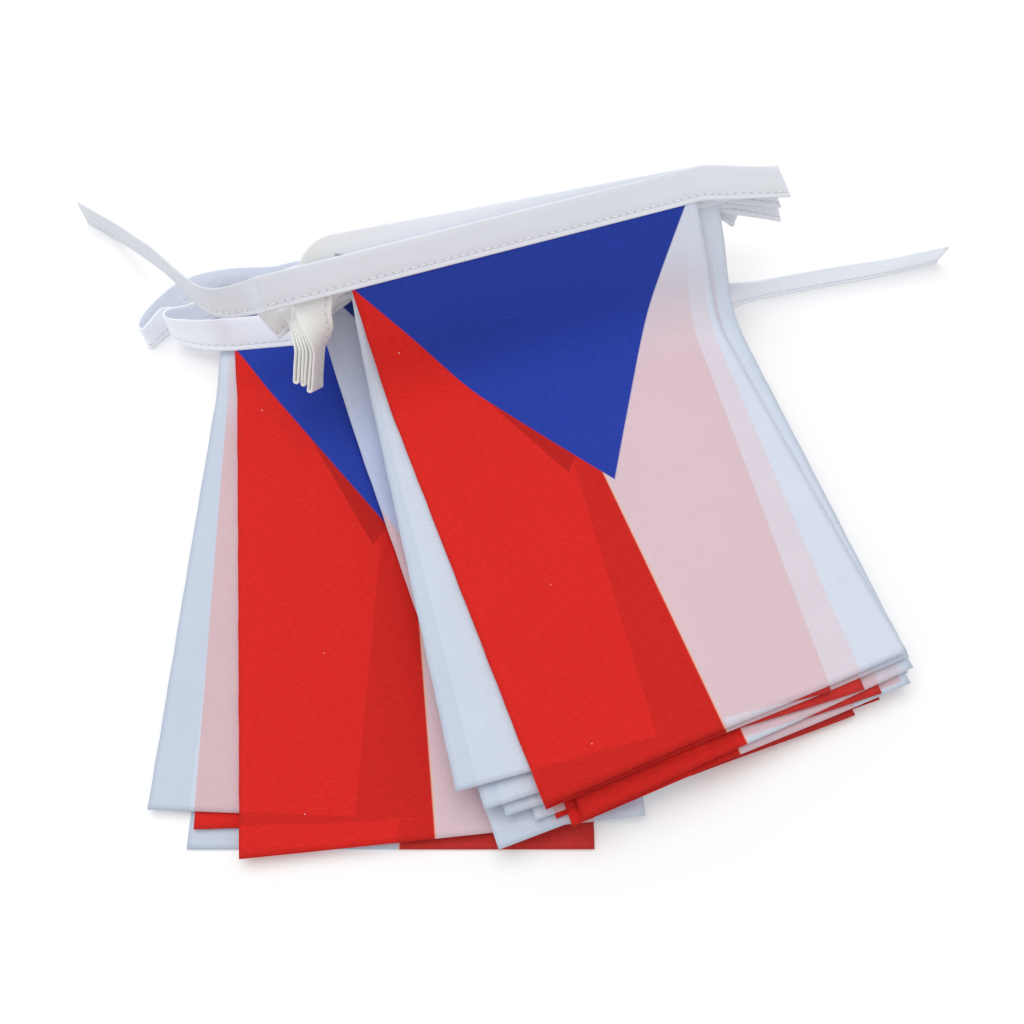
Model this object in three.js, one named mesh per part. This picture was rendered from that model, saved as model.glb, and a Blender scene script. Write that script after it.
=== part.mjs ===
// A folded string of flag bunting: sixteen printed flags on one binding tape.
// The string lies folded back and forth in two stacks. Twelve flags form the upper stack, which rests
// on the four flags of the lower stack. Flags alternate between face up and face down.
// Units are millimetres, +Z is up, and the object rests on z = 0.

import * as THREE from 'three';

// Cloth sizes
const FLAG_THICKNESS = 1.0;
const FLAG_GAP = 0.3;
const FLAG_PITCH = FLAG_THICKNESS + FLAG_GAP;
const TAPE_WIDTH = 13.5;
const TAPE_THICKNESS = 1.0;
const TAPE_PITCH = 2.0;
const SEAM_GAP = 0.3;

// Upper stack: a flat part, one round bend and a straight slope up to the tape.
// Places in it are given by "across" (left to right), "along" (unrolled length, 0 at the start of the
// bend, positive towards the tape) and "depth" (below the front flag, square to the cloth).
const STACK_TURN = degrees(18);
const STACK_START_Y = 43;
const BEND_ANGLE = degrees(51);
const BEND_RADIUS = 26;
const LAYERS = 12;
const SETTLE_LENGTH = 36;

// Share by which the sewn edge of each upper flag is drawn in
const DRAW_IN = 0.03;

// Height that the upper stack gains by lying on the lower one, and how it fades to the right.
const STACK_LIFT = 5.2;
const TAPE_LIFT = 8.8;
const LIFT_EDGE = 50;
const LIFT_EDGE_SLOPE = 0.22;
const LIFT_FADE = 60;

// Lower stack: flat flags that rise a little to the passes of the tape.
const RISE_START = 50;
const RISE_START_SLOPE = 0.06;
const RISE_REFERENCE_X = -120;
const RISE_LENGTH = 16;

// Grid of each flag
const UPPER_COLUMNS = 10;
const UPPER_FLAT_ROWS = 5;
const BEND_ROWS = 5;
const LOWER_COLUMNS = 4;
const RISE_ROWS = 4;

// Steps along the tape
const PASS_STEPS = 3;
const ROUTE_STEPS = 3;
const FOLD_STEPS = 6;
const BEND_STEPS = 7;

// Length that each pass of the tape runs on straight past the sides of its flag
const PASS_OVERRUN = 3;
const LEG_SHARES = [0.3, 0.6, 0.9];
const FLAT_LEG_SHARES = [0.35, 0.7];
const LEADER_RUN = 33;
const LEADER_RUN_STEP = 6;

// Middle of the whole object in the layout's own coordinates
const LAYOUT_CENTRE = { x: -1.43, y: 4.96 };

const WHITE_TAPE = { color: 0xe6e9f3, roughness: 0.6 };
const WHITE_CLOTH = { color: 0xd6deee, roughness: 0.75 };
const RED_CLOTH = { color: 0xd92b24, roughness: 0.75 };

// One row for each flag of the upper stack, front flag first. Across and along give the free corner at
// the left. Turn is the angle of the free edge, lean that of the two side edges and hoist that of the
// sewn edge, all in degrees. Length is measured along the left edge, up to the tape.
const upperFlags = [
  { name: 'flag_01', across: -39.4, along: -156.7, turn: 5.1, lean: 3.5, hoist: -0.4, width: 142, length: 210 },
  { name: 'flag_02', across: -66.2, along: -142.5, turn: -2.7, lean: -4, hoist: -3.7, width: 137, length: 204 },
  { name: 'flag_03', across: -39.1, along: -157.3, turn: 4.8, lean: 0.8, hoist: -1.5, width: 143, length: 209 },
  { name: 'flag_04', across: -58.8, along: -150.7, turn: -0.3, lean: -2.2, hoist: -3, width: 142, length: 206 },
  { name: 'flag_05', across: -28.1, along: -164.1, turn: 6.5, lean: 2.5, hoist: -1, width: 133, length: 212 },
  { name: 'flag_06', across: -52.4, along: -154.5, turn: 0.2, lean: -1.8, hoist: -2.5, width: 142, length: 207 },
  { name: 'flag_07', across: -31.9, along: -164.5, turn: 4.7, lean: 1.6, hoist: -1, width: 134, length: 211 },
  { name: 'flag_08', across: -43.1, along: -158.6, turn: 2.6, lean: -0.2, hoist: -1.5, width: 142, length: 208 },
  { name: 'flag_09', across: -36, along: -160, turn: 4.4, lean: 1.8, hoist: -1, width: 140, length: 208 },
  { name: 'flag_10', across: -57.8, along: -163.5, turn: 2.5, lean: 2.5, hoist: -1, width: 137, length: 210 },
  { name: 'flag_11', across: -38, along: -158, turn: 4, lean: 2.5, hoist: -1, width: 140, length: 206 },
  { name: 'flag_12', across: -49, along: -158, turn: 1.4, lean: 1, hoist: -1, width: 140, length: 206 },
];

// One row for each flag of the lower stack, top flag first. X and y give the free corner at the left,
// and lean is how far the tape stands up from the flag, in degrees, at the pass's left and right ends.
const lowerFlags = [
  { name: 'flag_13', x: -93, y: -133, turn: 6.0, width: 140, length: 203, lean: [46, 8] },
  { name: 'flag_14', x: -127, y: -116, turn: -2.0, width: 140, length: 205, lean: [0, 0] },
  { name: 'flag_15', x: -110.5, y: -122.5, turn: 2.0, width: 141, length: 206, lean: [0, 0] },
  { name: 'flag_16', x: -112.5, y: -129, turn: 0.0, width: 141, length: 205, lean: [0, 0] },
];

// Folds of the tape at the right of the upper stack, front one first: how far across each reaches, and
// the place along the stack to which the middle of its tip sinks.
const rightFolds = [
  { reach: 124, tip: 51.5 },
  { reach: 122, tip: 47 },
  { reach: 124, tip: 40 },
  { reach: 108, tip: 40 },
  { reach: 106, tip: 46 },
  { reach: 102, tip: 48 },
];

// Folds of the tape at the left of the upper stack. The front three hang down the slope as narrow loops
// whose tips lie at the given places along the stack. The rear two droop within their own layers.
const hangingFolds = [
  { tip: 22 },
  { tip: 24 },
  { tip: 24.5 },
];
const droopingFolds = [
  { reach: -75, tip: 43 },
  { reach: -83, tip: 44 },
];
const HANGING_LINE = { across: -61.5, along: 61 };
const HANGING_TURN = degrees(70);
const HANGING_BEND = 10;
const HANGING_MIDDLE_LAYER = 3.5;
const HANGING_ROLL = degrees(75);
const HANGING_ROLL_START = 46;
const HANGING_ROLL_LENGTH = 22;
const HANGING_STEP = 2.4;
const HANGING_COME_FORWARD = 4.5;
const HANGING_FORWARD_LENGTH = 13;

// Free stretches of the tape, as hand-placed stations of its middle line. Lean is the angle of the
// tape's width above level, and heading is the compass direction to which its outer edge leans.
const leader = [
  { x: -189, y: 142.5, z: 6.8, lean: 90, heading: 50 },
  { x: -178.5, y: 135.5, z: 7.2, lean: 90, heading: 50 },
  { x: -168.5, y: 127, z: 10.5, lean: 90, heading: 50 },
  { x: -154.5, y: 113, z: 18, lean: 90, heading: 52 },
  { x: -142, y: 98.5, z: 27, lean: 90, heading: 55 },
  { x: -132, y: 85.5, z: 34.5, lean: 88, heading: 60 },
  { x: -123.5, y: 75.5, z: 39.5, lean: 84, heading: 72 },
  { x: -117, y: 70, z: 42.8, lean: 78, heading: 86 },
  { x: -109.5, y: 66.5, z: 46.5, lean: 69, heading: 97 },
  { x: -100, y: 64, z: 52.5, lean: 59, heading: 104 },
];
const loopToLowerStack = [
  { x: -84, y: 84, z: 36, lean: 60, heading: 106 },
  { x: -97, y: 86, z: 28, lean: 70, heading: 98 },
  { x: -111, y: 86, z: 22, lean: 82, heading: 92 },
  { x: -124, y: 84, z: 18, lean: 88, heading: 90 },
  { x: -133, y: 82.5, z: 15.2, lean: 90, heading: 90 },
  { x: -139.5, y: 81.5, z: 14.5, lean: 90, heading: 90 },
  { x: -141.5, y: 78.5, z: 14.5, lean: 88, heading: 90 },
  { x: -138.5, y: 75.5, z: 14.5, lean: 80, heading: 90 },
  { x: -130, y: 73.5, z: 14.8, lean: 66, heading: 92 },
  { x: -122, y: 73, z: 14.8, lean: 56, heading: 94 },
];
const FLAT_FOLD_REACH = 9;
const tail = [
  { x: -122, y: 83, z: 2.5, lean: 0, heading: 91 },
  { x: -131, y: 83.2, z: 2.5, lean: 0, heading: 95 },
  { x: -138.5, y: 85, z: 6, lean: 48, heading: 120 },
  { x: -144.5, y: 85.5, z: 7.5, lean: 78, heading: 140 },
  { x: -149.5, y: 79.5, z: 7, lean: 86, heading: 148 },
  { x: -152, y: 76.5, z: 7, lean: 88, heading: 150 },
  { x: -153.8, y: 79, z: 7, lean: 86, heading: 150 },
  { x: -151.3, y: 85.5, z: 7, lean: 84, heading: 145 },
  { x: -146, y: 93, z: 7, lean: 85, heading: 135 },
  { x: -139.5, y: 100, z: 7, lean: 87, heading: 120 },
  { x: -130, y: 105, z: 7, lean: 90, heading: 105 },
  { x: -117, y: 107.5, z: 7, lean: 90, heading: 94 },
  { x: -101, y: 108, z: 7, lean: 84, heading: 90 },
  { x: -87, y: 110, z: 5.6, lean: 55, heading: 88 },
  { x: -72, y: 110.5, z: 2.8, lean: 20, heading: 86 },
  { x: -56, y: 108.5, z: 0.5, lean: 0, heading: 82 },
  { x: -12, y: 99.5, z: 0.5, lean: 0, heading: 78 },
  { x: 30, y: 91.5, z: 0.5, lean: 0, heading: 84 },
  { x: 49, y: 89.5, z: 0.5, lean: 0, heading: 92 },
  { x: 64, y: 90.3, z: 0.5, lean: 0, heading: 98 },
  { x: 74, y: 92.4, z: 2.4, lean: 14, heading: 102 },
  { x: 84, y: 95.2, z: 5.4, lean: 45, heading: 103 },
  { x: 94, y: 98.2, z: 6.9, lean: 75, heading: 104 },
  { x: 105, y: 101, z: 6.9, lean: 90, heading: 104 },
  { x: 131, y: 107, z: 6.9, lean: 90, heading: 104 },
  { x: 158, y: 112.5, z: 6.9, lean: 94, heading: 104 },
  { x: 186, y: 119.5, z: 6.9, lean: 100, heading: 104 },
];

function degrees(angle) {
  return angle * Math.PI / 180;
}

// Soft step from 0 to 1.
function ease(share) {
  const u = Math.min(Math.max(share, 0), 1);
  return u * u * (3 - 2 * u);
}

// Soft step from 0 to 1 with the same curvature all along, so that stacked grids stay parallel.
function roundStep(share) {
  const u = Math.min(Math.max(share, 0), 1);
  return 0.5 - 0.5 * Math.cos(Math.PI * u);
}

function mix(from, to, share) {
  return from + (to - from) * share;
}

// Upper stack

function layerPitch(along) {
  return mix(FLAG_PITCH, TAPE_PITCH, ease(along / SETTLE_LENGTH));
}

function liftAt(across, along) {
  const edge = LIFT_EDGE + LIFT_EDGE_SLOPE * along;
  const flatLift = STACK_LIFT * (1 - roundStep((across - edge) / LIFT_FADE));
  return mix(flatLift, TAPE_LIFT, ease(along / SETTLE_LENGTH));
}

// Point of the upper stack, with depth measured square to the cloth from the front flag's middle.
function stackPoint(across, along, depth) {
  const frontHeight = FLAG_THICKNESS / 2 + (LAYERS - 1) * FLAG_PITCH;
  const angle = Math.min(Math.max(along / BEND_RADIUS, 0), BEND_ANGLE);
  const straight = along - BEND_RADIUS * angle;
  const forward = BEND_RADIUS * Math.sin(angle) + straight * Math.cos(angle) + depth * Math.sin(angle);
  const rise = BEND_RADIUS * (1 - Math.cos(angle)) + straight * Math.sin(angle) - depth * Math.cos(angle);
  return new THREE.Vector3(
    across * Math.cos(STACK_TURN) - forward * Math.sin(STACK_TURN),
    STACK_START_Y + across * Math.sin(STACK_TURN) + forward * Math.cos(STACK_TURN),
    frontHeight + rise + liftAt(across, along),
  );
}

// Distance i from the left edge, corrected for the drawing in of the flag towards its sewn edge.
function drawnIn(flag, i, j) {
  const middle = flag.width / 2;
  return middle + (i - middle) * (1 - DRAW_IN * j / flag.length);
}

// Place in the unrolled stack of a point of a flag: i from the left edge, j from the free edge.
function flagPlace(flag, i, j) {
  const turn = degrees(flag.turn);
  const lean = degrees(flag.lean);
  const out = drawnIn(flag, i, j);
  return {
    across: flag.across + out * Math.cos(turn) - j * Math.sin(lean),
    along: flag.along + out * Math.sin(turn) + j * Math.cos(lean),
  };
}

// Distance j from the free edge at which the line i of a flag crosses a line of the unrolled stack, given
// by the place at which it meets across = 0 and by its angle.
function crossing(flag, i, along, angle) {
  const miss = (j) => {
    const place = flagPlace(flag, i, j);
    return place.along - along - place.across * Math.tan(angle);
  };
  const near = miss(0);
  return -near * flag.length / (miss(flag.length) - near);
}

// Rows of a flag of the upper stack: the free edge, the flat part, the bend, the slope, the hoist edge.
function upperFlagRows(flag, i) {
  const bendLength = BEND_RADIUS * BEND_ANGLE;
  const rows = [];
  for (let k = 0; k <= UPPER_FLAT_ROWS; k += 1) {
    rows.push(crossing(flag, i, 0, 0) * k / UPPER_FLAT_ROWS);
  }
  for (let k = 1; k <= BEND_ROWS; k += 1) {
    rows.push(crossing(flag, i, bendLength * k / BEND_ROWS, 0));
  }
  rows.push(crossing(flag, i, SETTLE_LENGTH, 0));
  rows.push(hoistLength(flag, i));
  return rows;
}

// Length of a flag from the free edge to the tape, at a distance i from its left edge.
function hoistLength(flag, i) {
  const corner = flagPlace(flag, 0, flag.length);
  const angle = degrees(flag.hoist);
  return crossing(flag, i, corner.along - corner.across * Math.tan(angle), angle);
}

function upperFlagGeometry(flag, layer) {
  const upper = [];
  const lower = [];
  for (let column = 0; column <= UPPER_COLUMNS; column += 1) {
    const i = flag.width * column / UPPER_COLUMNS;
    const rows = upperFlagRows(flag, i).map((j) => flagPlace(flag, i, j));
    upper.push(rows.map((p) => stackPoint(p.across, p.along, layer * layerPitch(p.along) - FLAG_THICKNESS / 2)));
    lower.push(rows.map((p) => stackPoint(p.across, p.along, layer * layerPitch(p.along) + FLAG_THICKNESS / 2)));
  }
  return sheetGeometry(upper, lower);
}

// Lower stack

function riseShare(x, y) {
  const start = RISE_START + RISE_START_SLOPE * (x - RISE_REFERENCE_X);
  return (y - start) / RISE_LENGTH;
}

// Height of the middle of a flag or pass of the lower stack, with level 0 at the bottom. The last
// stretch of the tape runs below all four passes.
function lowerHeight(x, y, level) {
  const flat = level * FLAG_PITCH;
  const atTape = (level + 1) * TAPE_PITCH;
  return FLAG_THICKNESS / 2 + mix(flat, atTape, ease(riseShare(x, y)));
}

function lowerFlagPoint(flag, i, j) {
  const turn = degrees(flag.turn);
  return {
    x: flag.x + i * Math.cos(turn) - j * Math.sin(turn),
    y: flag.y + i * Math.sin(turn) + j * Math.cos(turn),
  };
}

// Distance j at which the line i of a flag reaches a given share of the rise.
function riseCrossing(flag, i, share) {
  const near = lowerFlagPoint(flag, i, 0);
  const far = lowerFlagPoint(flag, i, flag.length);
  const nearShare = riseShare(near.x, near.y);
  const farShare = riseShare(far.x, far.y);
  return flag.length * (share - nearShare) / (farShare - nearShare);
}

function lowerFlagGeometry(flag, level) {
  const upper = [];
  const lower = [];
  for (let column = 0; column <= LOWER_COLUMNS; column += 1) {
    const i = flag.width * column / LOWER_COLUMNS;
    const rows = [0];
    for (let k = 0; k <= RISE_ROWS; k += 1) {
      rows.push(riseCrossing(flag, i, k / RISE_ROWS));
    }
    rows.push(flag.length);
    const points = rows.map((j) => lowerFlagPoint(flag, i, j));
    upper.push(points.map((p) => liftedPoint(p, lowerHeight(p.x, p.y, level) + FLAG_THICKNESS / 2)));
    lower.push(points.map((p) => liftedPoint(p, lowerHeight(p.x, p.y, level) - FLAG_THICKNESS / 2)));
  }
  return sheetGeometry(upper, lower);
}

function liftedPoint(place, z) {
  return new THREE.Vector3(place.x, place.y, z);
}

// Closed sheet between two grids of points, given as columns from left to right.
function sheetGeometry(upper, lower) {
  const columns = upper.length;
  const rows = upper[0].length;
  const positions = [];
  for (const grid of [upper, lower]) {
    for (const column of grid) {
      column.forEach((p) => positions.push(p.x, p.y, p.z));
    }
  }
  const top = (c, r) => c * rows + r;
  const bottom = (c, r) => columns * rows + c * rows + r;
  const faces = [];
  const quad = (a, b, c, d) => faces.push(a, b, c, a, c, d);
  for (let c = 0; c < columns - 1; c += 1) {
    for (let r = 0; r < rows - 1; r += 1) {
      quad(top(c, r), top(c + 1, r), top(c + 1, r + 1), top(c, r + 1));
      quad(bottom(c, r), bottom(c, r + 1), bottom(c + 1, r + 1), bottom(c + 1, r));
    }
    quad(bottom(c, 0), bottom(c + 1, 0), top(c + 1, 0), top(c, 0));
    quad(bottom(c + 1, rows - 1), bottom(c, rows - 1), top(c, rows - 1), top(c + 1, rows - 1));
  }
  for (let r = 0; r < rows - 1; r += 1) {
    quad(bottom(0, r + 1), bottom(0, r), top(0, r), top(0, r + 1));
    quad(bottom(columns - 1, r), bottom(columns - 1, r + 1), top(columns - 1, r + 1), top(columns - 1, r));
  }
  return indexedGeometry(positions, faces);
}

function indexedGeometry(positions, faces) {
  const geometry = new THREE.BufferGeometry();
  geometry.setAttribute('position', new THREE.Float32BufferAttribute(positions, 3));
  geometry.setIndex(faces);
  geometry.computeVertexNormals();
  return geometry;
}

// Binding tape. Its route is a list of stations, each with a middle point and the direction of its
// width, from the sewn edge to the outer edge.

function station(point, width) {
  return { point, width: width.clone().normalize() };
}

// Direction of the tape's width on the slope of the upper stack, square to a line turned by "turn".
function slopeWidth(turn) {
  const away = Math.cos(turn) * Math.cos(BEND_ANGLE);
  const left = -Math.sin(turn);
  return new THREE.Vector3(
    left * Math.cos(STACK_TURN) - away * Math.sin(STACK_TURN),
    left * Math.sin(STACK_TURN) + away * Math.cos(STACK_TURN),
    Math.cos(turn) * Math.sin(BEND_ANGLE),
  );
}

// Place of the tape's middle line on the pass of an upper flag. The distance is measured along the pass
// from the flag's left edge, or from its right edge where side is 1.
function passPlace(flag, side, distance) {
  const i = side > 0 ? flag.width : 0;
  const corner = flagPlace(flag, i, hoistLength(flag, i));
  const angle = degrees(flag.hoist);
  const out = SEAM_GAP + TAPE_WIDTH / 2;
  return {
    across: corner.across + distance * Math.cos(angle) - out * Math.sin(angle),
    along: corner.along + distance * Math.sin(angle) + out * Math.cos(angle),
  };
}

function upperPass(flag, layer) {
  const left = passPlace(flag, -1, -PASS_OVERRUN);
  const right = passPlace(flag, 1, PASS_OVERRUN);
  const stations = [];
  for (let k = 0; k <= PASS_STEPS; k += 1) {
    const across = mix(left.across, right.across, k / PASS_STEPS);
    const along = mix(left.along, right.along, k / PASS_STEPS);
    stations.push(station(stackPoint(across, along, layer * TAPE_PITCH), slopeWidth(degrees(flag.hoist))));
  }
  return stations;
}

// Straight run of the front pass past the left side of its flag, over the hanging loops.
function leaderRun(flag) {
  const stations = [];
  for (let distance = LEADER_RUN; distance > PASS_OVERRUN; distance -= LEADER_RUN_STEP) {
    const place = passPlace(flag, -1, -distance);
    stations.push(station(stackPoint(place.across, place.along, 0), slopeWidth(degrees(flag.hoist))));
  }
  return stations;
}

// Fold at one end of two upper passes: out along the upper one, round, and back along the lower. Each
// leg stays in its own layer and sinks to the place of the tip.
function endFold(first, second, layer, fold, side) {
  const start = passPlace(first, side, side * PASS_OVERRUN);
  const end = passPlace(second, side, side * PASS_OVERRUN);
  const sink = (from) => Math.atan((fold.tip - from.along) / (fold.reach - from.across));
  const tipTurn = (sink(start) + sink(end)) / 2;
  const legStation = (from, turn, share, depth) => {
    const across = mix(from.across, fold.reach, share);
    const along = mix(from.along, fold.tip, share);
    return station(stackPoint(across, along, depth), slopeWidth(mix(turn, tipTurn, ease(share * 2))));
  };
  const stations = [];
  for (const share of LEG_SHARES) {
    stations.push(legStation(start, degrees(first.hoist), share, layer * TAPE_PITCH));
  }
  for (let k = 0; k <= FOLD_STEPS; k += 1) {
    const angle = Math.PI * k / FOLD_STEPS;
    const across = fold.reach + side * TAPE_PITCH / 2 * Math.sin(angle);
    const depth = (layer + 0.5 - 0.5 * Math.cos(angle)) * TAPE_PITCH;
    stations.push(station(stackPoint(across, fold.tip, depth), slopeWidth(tipTurn)));
  }
  for (const share of [...LEG_SHARES].reverse()) {
    stations.push(legStation(end, degrees(second.hoist), share, (layer + 1) * TAPE_PITCH));
  }
  return stations;
}

// Frame of the loops that hang together at the left, in places of the upper stack, at a distance "along".
// Going down, the strips roll together onto their edges, about the line of the middle layer.
function hangingFrame(along) {
  const across = HANGING_LINE.across - (HANGING_LINE.along - along) / Math.tan(HANGING_TURN);
  const roll = HANGING_ROLL * ease((HANGING_ROLL_START - along) / HANGING_ROLL_LENGTH);
  const side = new THREE.Vector3(-Math.sin(HANGING_TURN), Math.cos(HANGING_TURN), 0);
  const deep = new THREE.Vector3(0, 0, 1);
  const forward = HANGING_COME_FORWARD * ease((HANGING_ROLL_START - along) / HANGING_FORWARD_LENGTH);
  return {
    middle: new THREE.Vector3(across, along, HANGING_MIDDLE_LAYER * TAPE_PITCH - forward),
    down: new THREE.Vector3(-Math.cos(HANGING_TURN), -Math.sin(HANGING_TURN), 0),
    width: side.clone().multiplyScalar(Math.cos(roll)).addScaledVector(deep, -Math.sin(roll)),
    stacking: deep.clone().multiplyScalar(Math.cos(roll)).addScaledVector(side, Math.sin(roll)),
  };
}

// Station at a place of the upper stack, with the width given in the same coordinates.
function placeStation(place, width) {
  const point = stackPoint(place.x, place.y, place.z);
  const outer = stackPoint(place.x + width.x, place.y + width.y, place.z + width.z);
  return station(point, outer.sub(point));
}

// One leg of a hanging loop, from the end of its pass down to the tip. It first turns down within the
// plane of the slope and then follows the frame of the bundle.
function hangingLeg(flag, layer, tip) {
  const start = passPlace(flag, -1, -PASS_OVERRUN);
  const corner = HANGING_LINE.across - (HANGING_LINE.along - start.along) / Math.tan(HANGING_TURN);
  const tangent = Math.min(HANGING_BEND * Math.tan(HANGING_TURN / 2), start.across - corner);
  const radius = tangent / Math.tan(HANGING_TURN / 2);
  const stations = [];
  for (let k = 0; k <= BEND_STEPS; k += 1) {
    const angle = HANGING_TURN * k / BEND_STEPS;
    const across = corner + tangent - radius * Math.sin(angle);
    const along = start.along - radius * (1 - Math.cos(angle));
    const width = new THREE.Vector3(-Math.sin(angle), Math.cos(angle), 0);
    stations.push(placeStation(new THREE.Vector3(across, along, layer * TAPE_PITCH), width));
  }
  for (let along = HANGING_ROLL_START; along > tip - HANGING_STEP; along -= HANGING_STEP) {
    const frame = hangingFrame(Math.max(along, tip));
    const offset = (layer - HANGING_MIDDLE_LAYER) * TAPE_PITCH;
    stations.push(placeStation(frame.middle.addScaledVector(frame.stacking, offset), frame.width));
  }
  return stations;
}

// Fold at the left end of two upper passes that hangs down the slope as a narrow loop.
function hangingFold(first, second, layer, fold) {
  const down = hangingLeg(first, layer, fold.tip);
  const up = hangingLeg(second, layer + 1, fold.tip).reverse();
  const frame = hangingFrame(fold.tip);
  const round = [];
  for (let k = 1; k < FOLD_STEPS; k += 1) {
    const angle = Math.PI * k / FOLD_STEPS;
    const offset = (layer + 0.5 - 0.5 * Math.cos(angle) - HANGING_MIDDLE_LAYER) * TAPE_PITCH;
    const place = frame.middle.clone()
      .addScaledVector(frame.stacking, offset)
      .addScaledVector(frame.down, TAPE_PITCH / 2 * Math.sin(angle));
    round.push(placeStation(place, frame.width));
  }
  return [...down, ...round, ...up];
}

// Pass of the tape along a flag of the lower stack, from left to right.
function lowerPass(flag, level) {
  const turn = degrees(flag.turn);
  const stations = [];
  for (let k = 0; k <= PASS_STEPS; k += 1) {
    const share = k / PASS_STEPS;
    const seam = lowerFlagPoint(flag, flag.width * share, flag.length);
    const lean = degrees(mix(flag.lean[0], flag.lean[1], ease(share * 2)));
    const clear = SEAM_GAP + TAPE_THICKNESS / 2 * Math.sin(lean);
    const out = clear + TAPE_WIDTH / 2 * Math.cos(lean);
    const point = new THREE.Vector3(
      seam.x - out * Math.sin(turn),
      seam.y + out * Math.cos(turn),
      lowerHeight(seam.x, seam.y, level) + TAPE_WIDTH / 2 * Math.sin(lean),
    );
    const width = new THREE.Vector3(
      -Math.sin(turn) * Math.cos(lean),
      Math.cos(turn) * Math.cos(lean),
      Math.sin(lean),
    );
    stations.push(station(point, width));
  }
  return stations;
}

// Flat fold that joins the ends of two stacked passes, one above the other, reaching out to one side.
function flatFold(from, to, reach, side) {
  const stations = [];
  const tipX = side > 0 ? Math.max(from.point.x, to.point.x) + reach : Math.min(from.point.x, to.point.x) - reach;
  const tipY = (from.point.y + to.point.y) / 2;
  const width = from.width.clone().add(to.width);
  const radius = Math.abs(from.point.z - to.point.z) / 2;
  for (const share of FLAT_LEG_SHARES) {
    stations.push(flatLeg(from, tipX, tipY, share));
  }
  for (let k = 0; k <= FOLD_STEPS; k += 1) {
    const angle = Math.PI * k / FOLD_STEPS;
    const z = mix(from.point.z, to.point.z, 0.5 - 0.5 * Math.cos(angle));
    const x = tipX + side * radius * Math.sin(angle);
    stations.push(station(new THREE.Vector3(x, tipY, z), width));
  }
  for (const share of [...FLAT_LEG_SHARES].reverse()) {
    stations.push(flatLeg(to, tipX, tipY, share));
  }
  return stations;
}

function flatLeg(end, tipX, tipY, share) {
  const point = new THREE.Vector3(mix(end.point.x, tipX, share), mix(end.point.y, tipY, ease(share)), end.point.z);
  return station(point, end.width);
}

function handStation(row) {
  const lean = degrees(row.lean);
  const heading = degrees(row.heading);
  const width = new THREE.Vector3(
    Math.cos(lean) * Math.cos(heading),
    Math.cos(lean) * Math.sin(heading),
    Math.sin(lean),
  );
  return station(new THREE.Vector3(row.x, row.y, row.z), width);
}

// Height of the tape's middle line where its lower edge touches the surface it rests on.
function restHeight(width) {
  return TAPE_WIDTH / 2 * Math.abs(width.z) + TAPE_THICKNESS / 2 * Math.hypot(width.x, width.y);
}

// Smooth stretch of tape through hand-placed stations. Before and after are the stretches of tape that
// it joins, so that it leaves and meets them in line. Either may be empty at a free end.
function smoothStretch(before, rows, after) {
  const through = [...before.slice(-1), ...rows.map(handStation), ...after.slice(0, 1)];
  const points = new THREE.CatmullRomCurve3(through.map((s) => s.point), false, 'catmullrom', 0.5);
  const widths = new THREE.CatmullRomCurve3(through.map((s) => s.width), false, 'catmullrom', 0.5);
  const count = (through.length - 1) * ROUTE_STEPS;
  const stations = [];
  for (let k = 0; k <= count; k += 1) {
    const current = station(points.getPoint(k / count), widths.getPoint(k / count));
    current.point.z = Math.max(current.point.z, restHeight(current.width));
    stations.push(current);
  }
  const first = before.length > 0 ? 1 : 0;
  const last = after.length > 0 ? stations.length - 1 : stations.length;
  return stations.slice(first, last);
}

function tapeStations() {
  const passes = upperFlags.map((flag, layer) => upperPass(flag, layer));
  passes[0].unshift(...leaderRun(upperFlags[0]));
  const route = [...smoothStretch([], leader, passes[0]), ...passes[0]];
  for (let layer = 0; layer < LAYERS - 1; layer += 1) {
    const first = upperFlags[layer];
    const second = upperFlags[layer + 1];
    if (layer % 2 === 0) {
      route.push(...endFold(first, second, layer, rightFolds[layer / 2], 1));
      route.push(...passes[layer + 1].reverse());
    } else if (layer < 2 * hangingFolds.length) {
      route.push(...hangingFold(first, second, layer, hangingFolds[(layer - 1) / 2]));
      route.push(...passes[layer + 1]);
    } else {
      route.push(...endFold(first, second, layer, droopingFolds[(layer - 1) / 2 - hangingFolds.length], -1));
      route.push(...passes[layer + 1]);
    }
  }
  const lower = lowerFlags.map((flag, k) => lowerPass(flag, lowerFlags.length - 1 - k));
  const backward = (stations) => [...stations].reverse();
  route.push(...smoothStretch(route, loopToLowerStack, lower[0]), ...lower[0]);
  route.push(...flatFold(lower[0].at(-1), lower[1].at(-1), FLAT_FOLD_REACH, 1));
  route.push(...backward(lower[1]));
  route.push(...flatFold(lower[1][0], lower[2][0], FLAT_FOLD_REACH, -1), ...lower[2]);
  route.push(...flatFold(lower[2].at(-1), lower[3].at(-1), FLAT_FOLD_REACH, 1));
  route.push(...backward(lower[3]));
  route.push(...smoothStretch(route, tail, []));
  return route;
}

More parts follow.
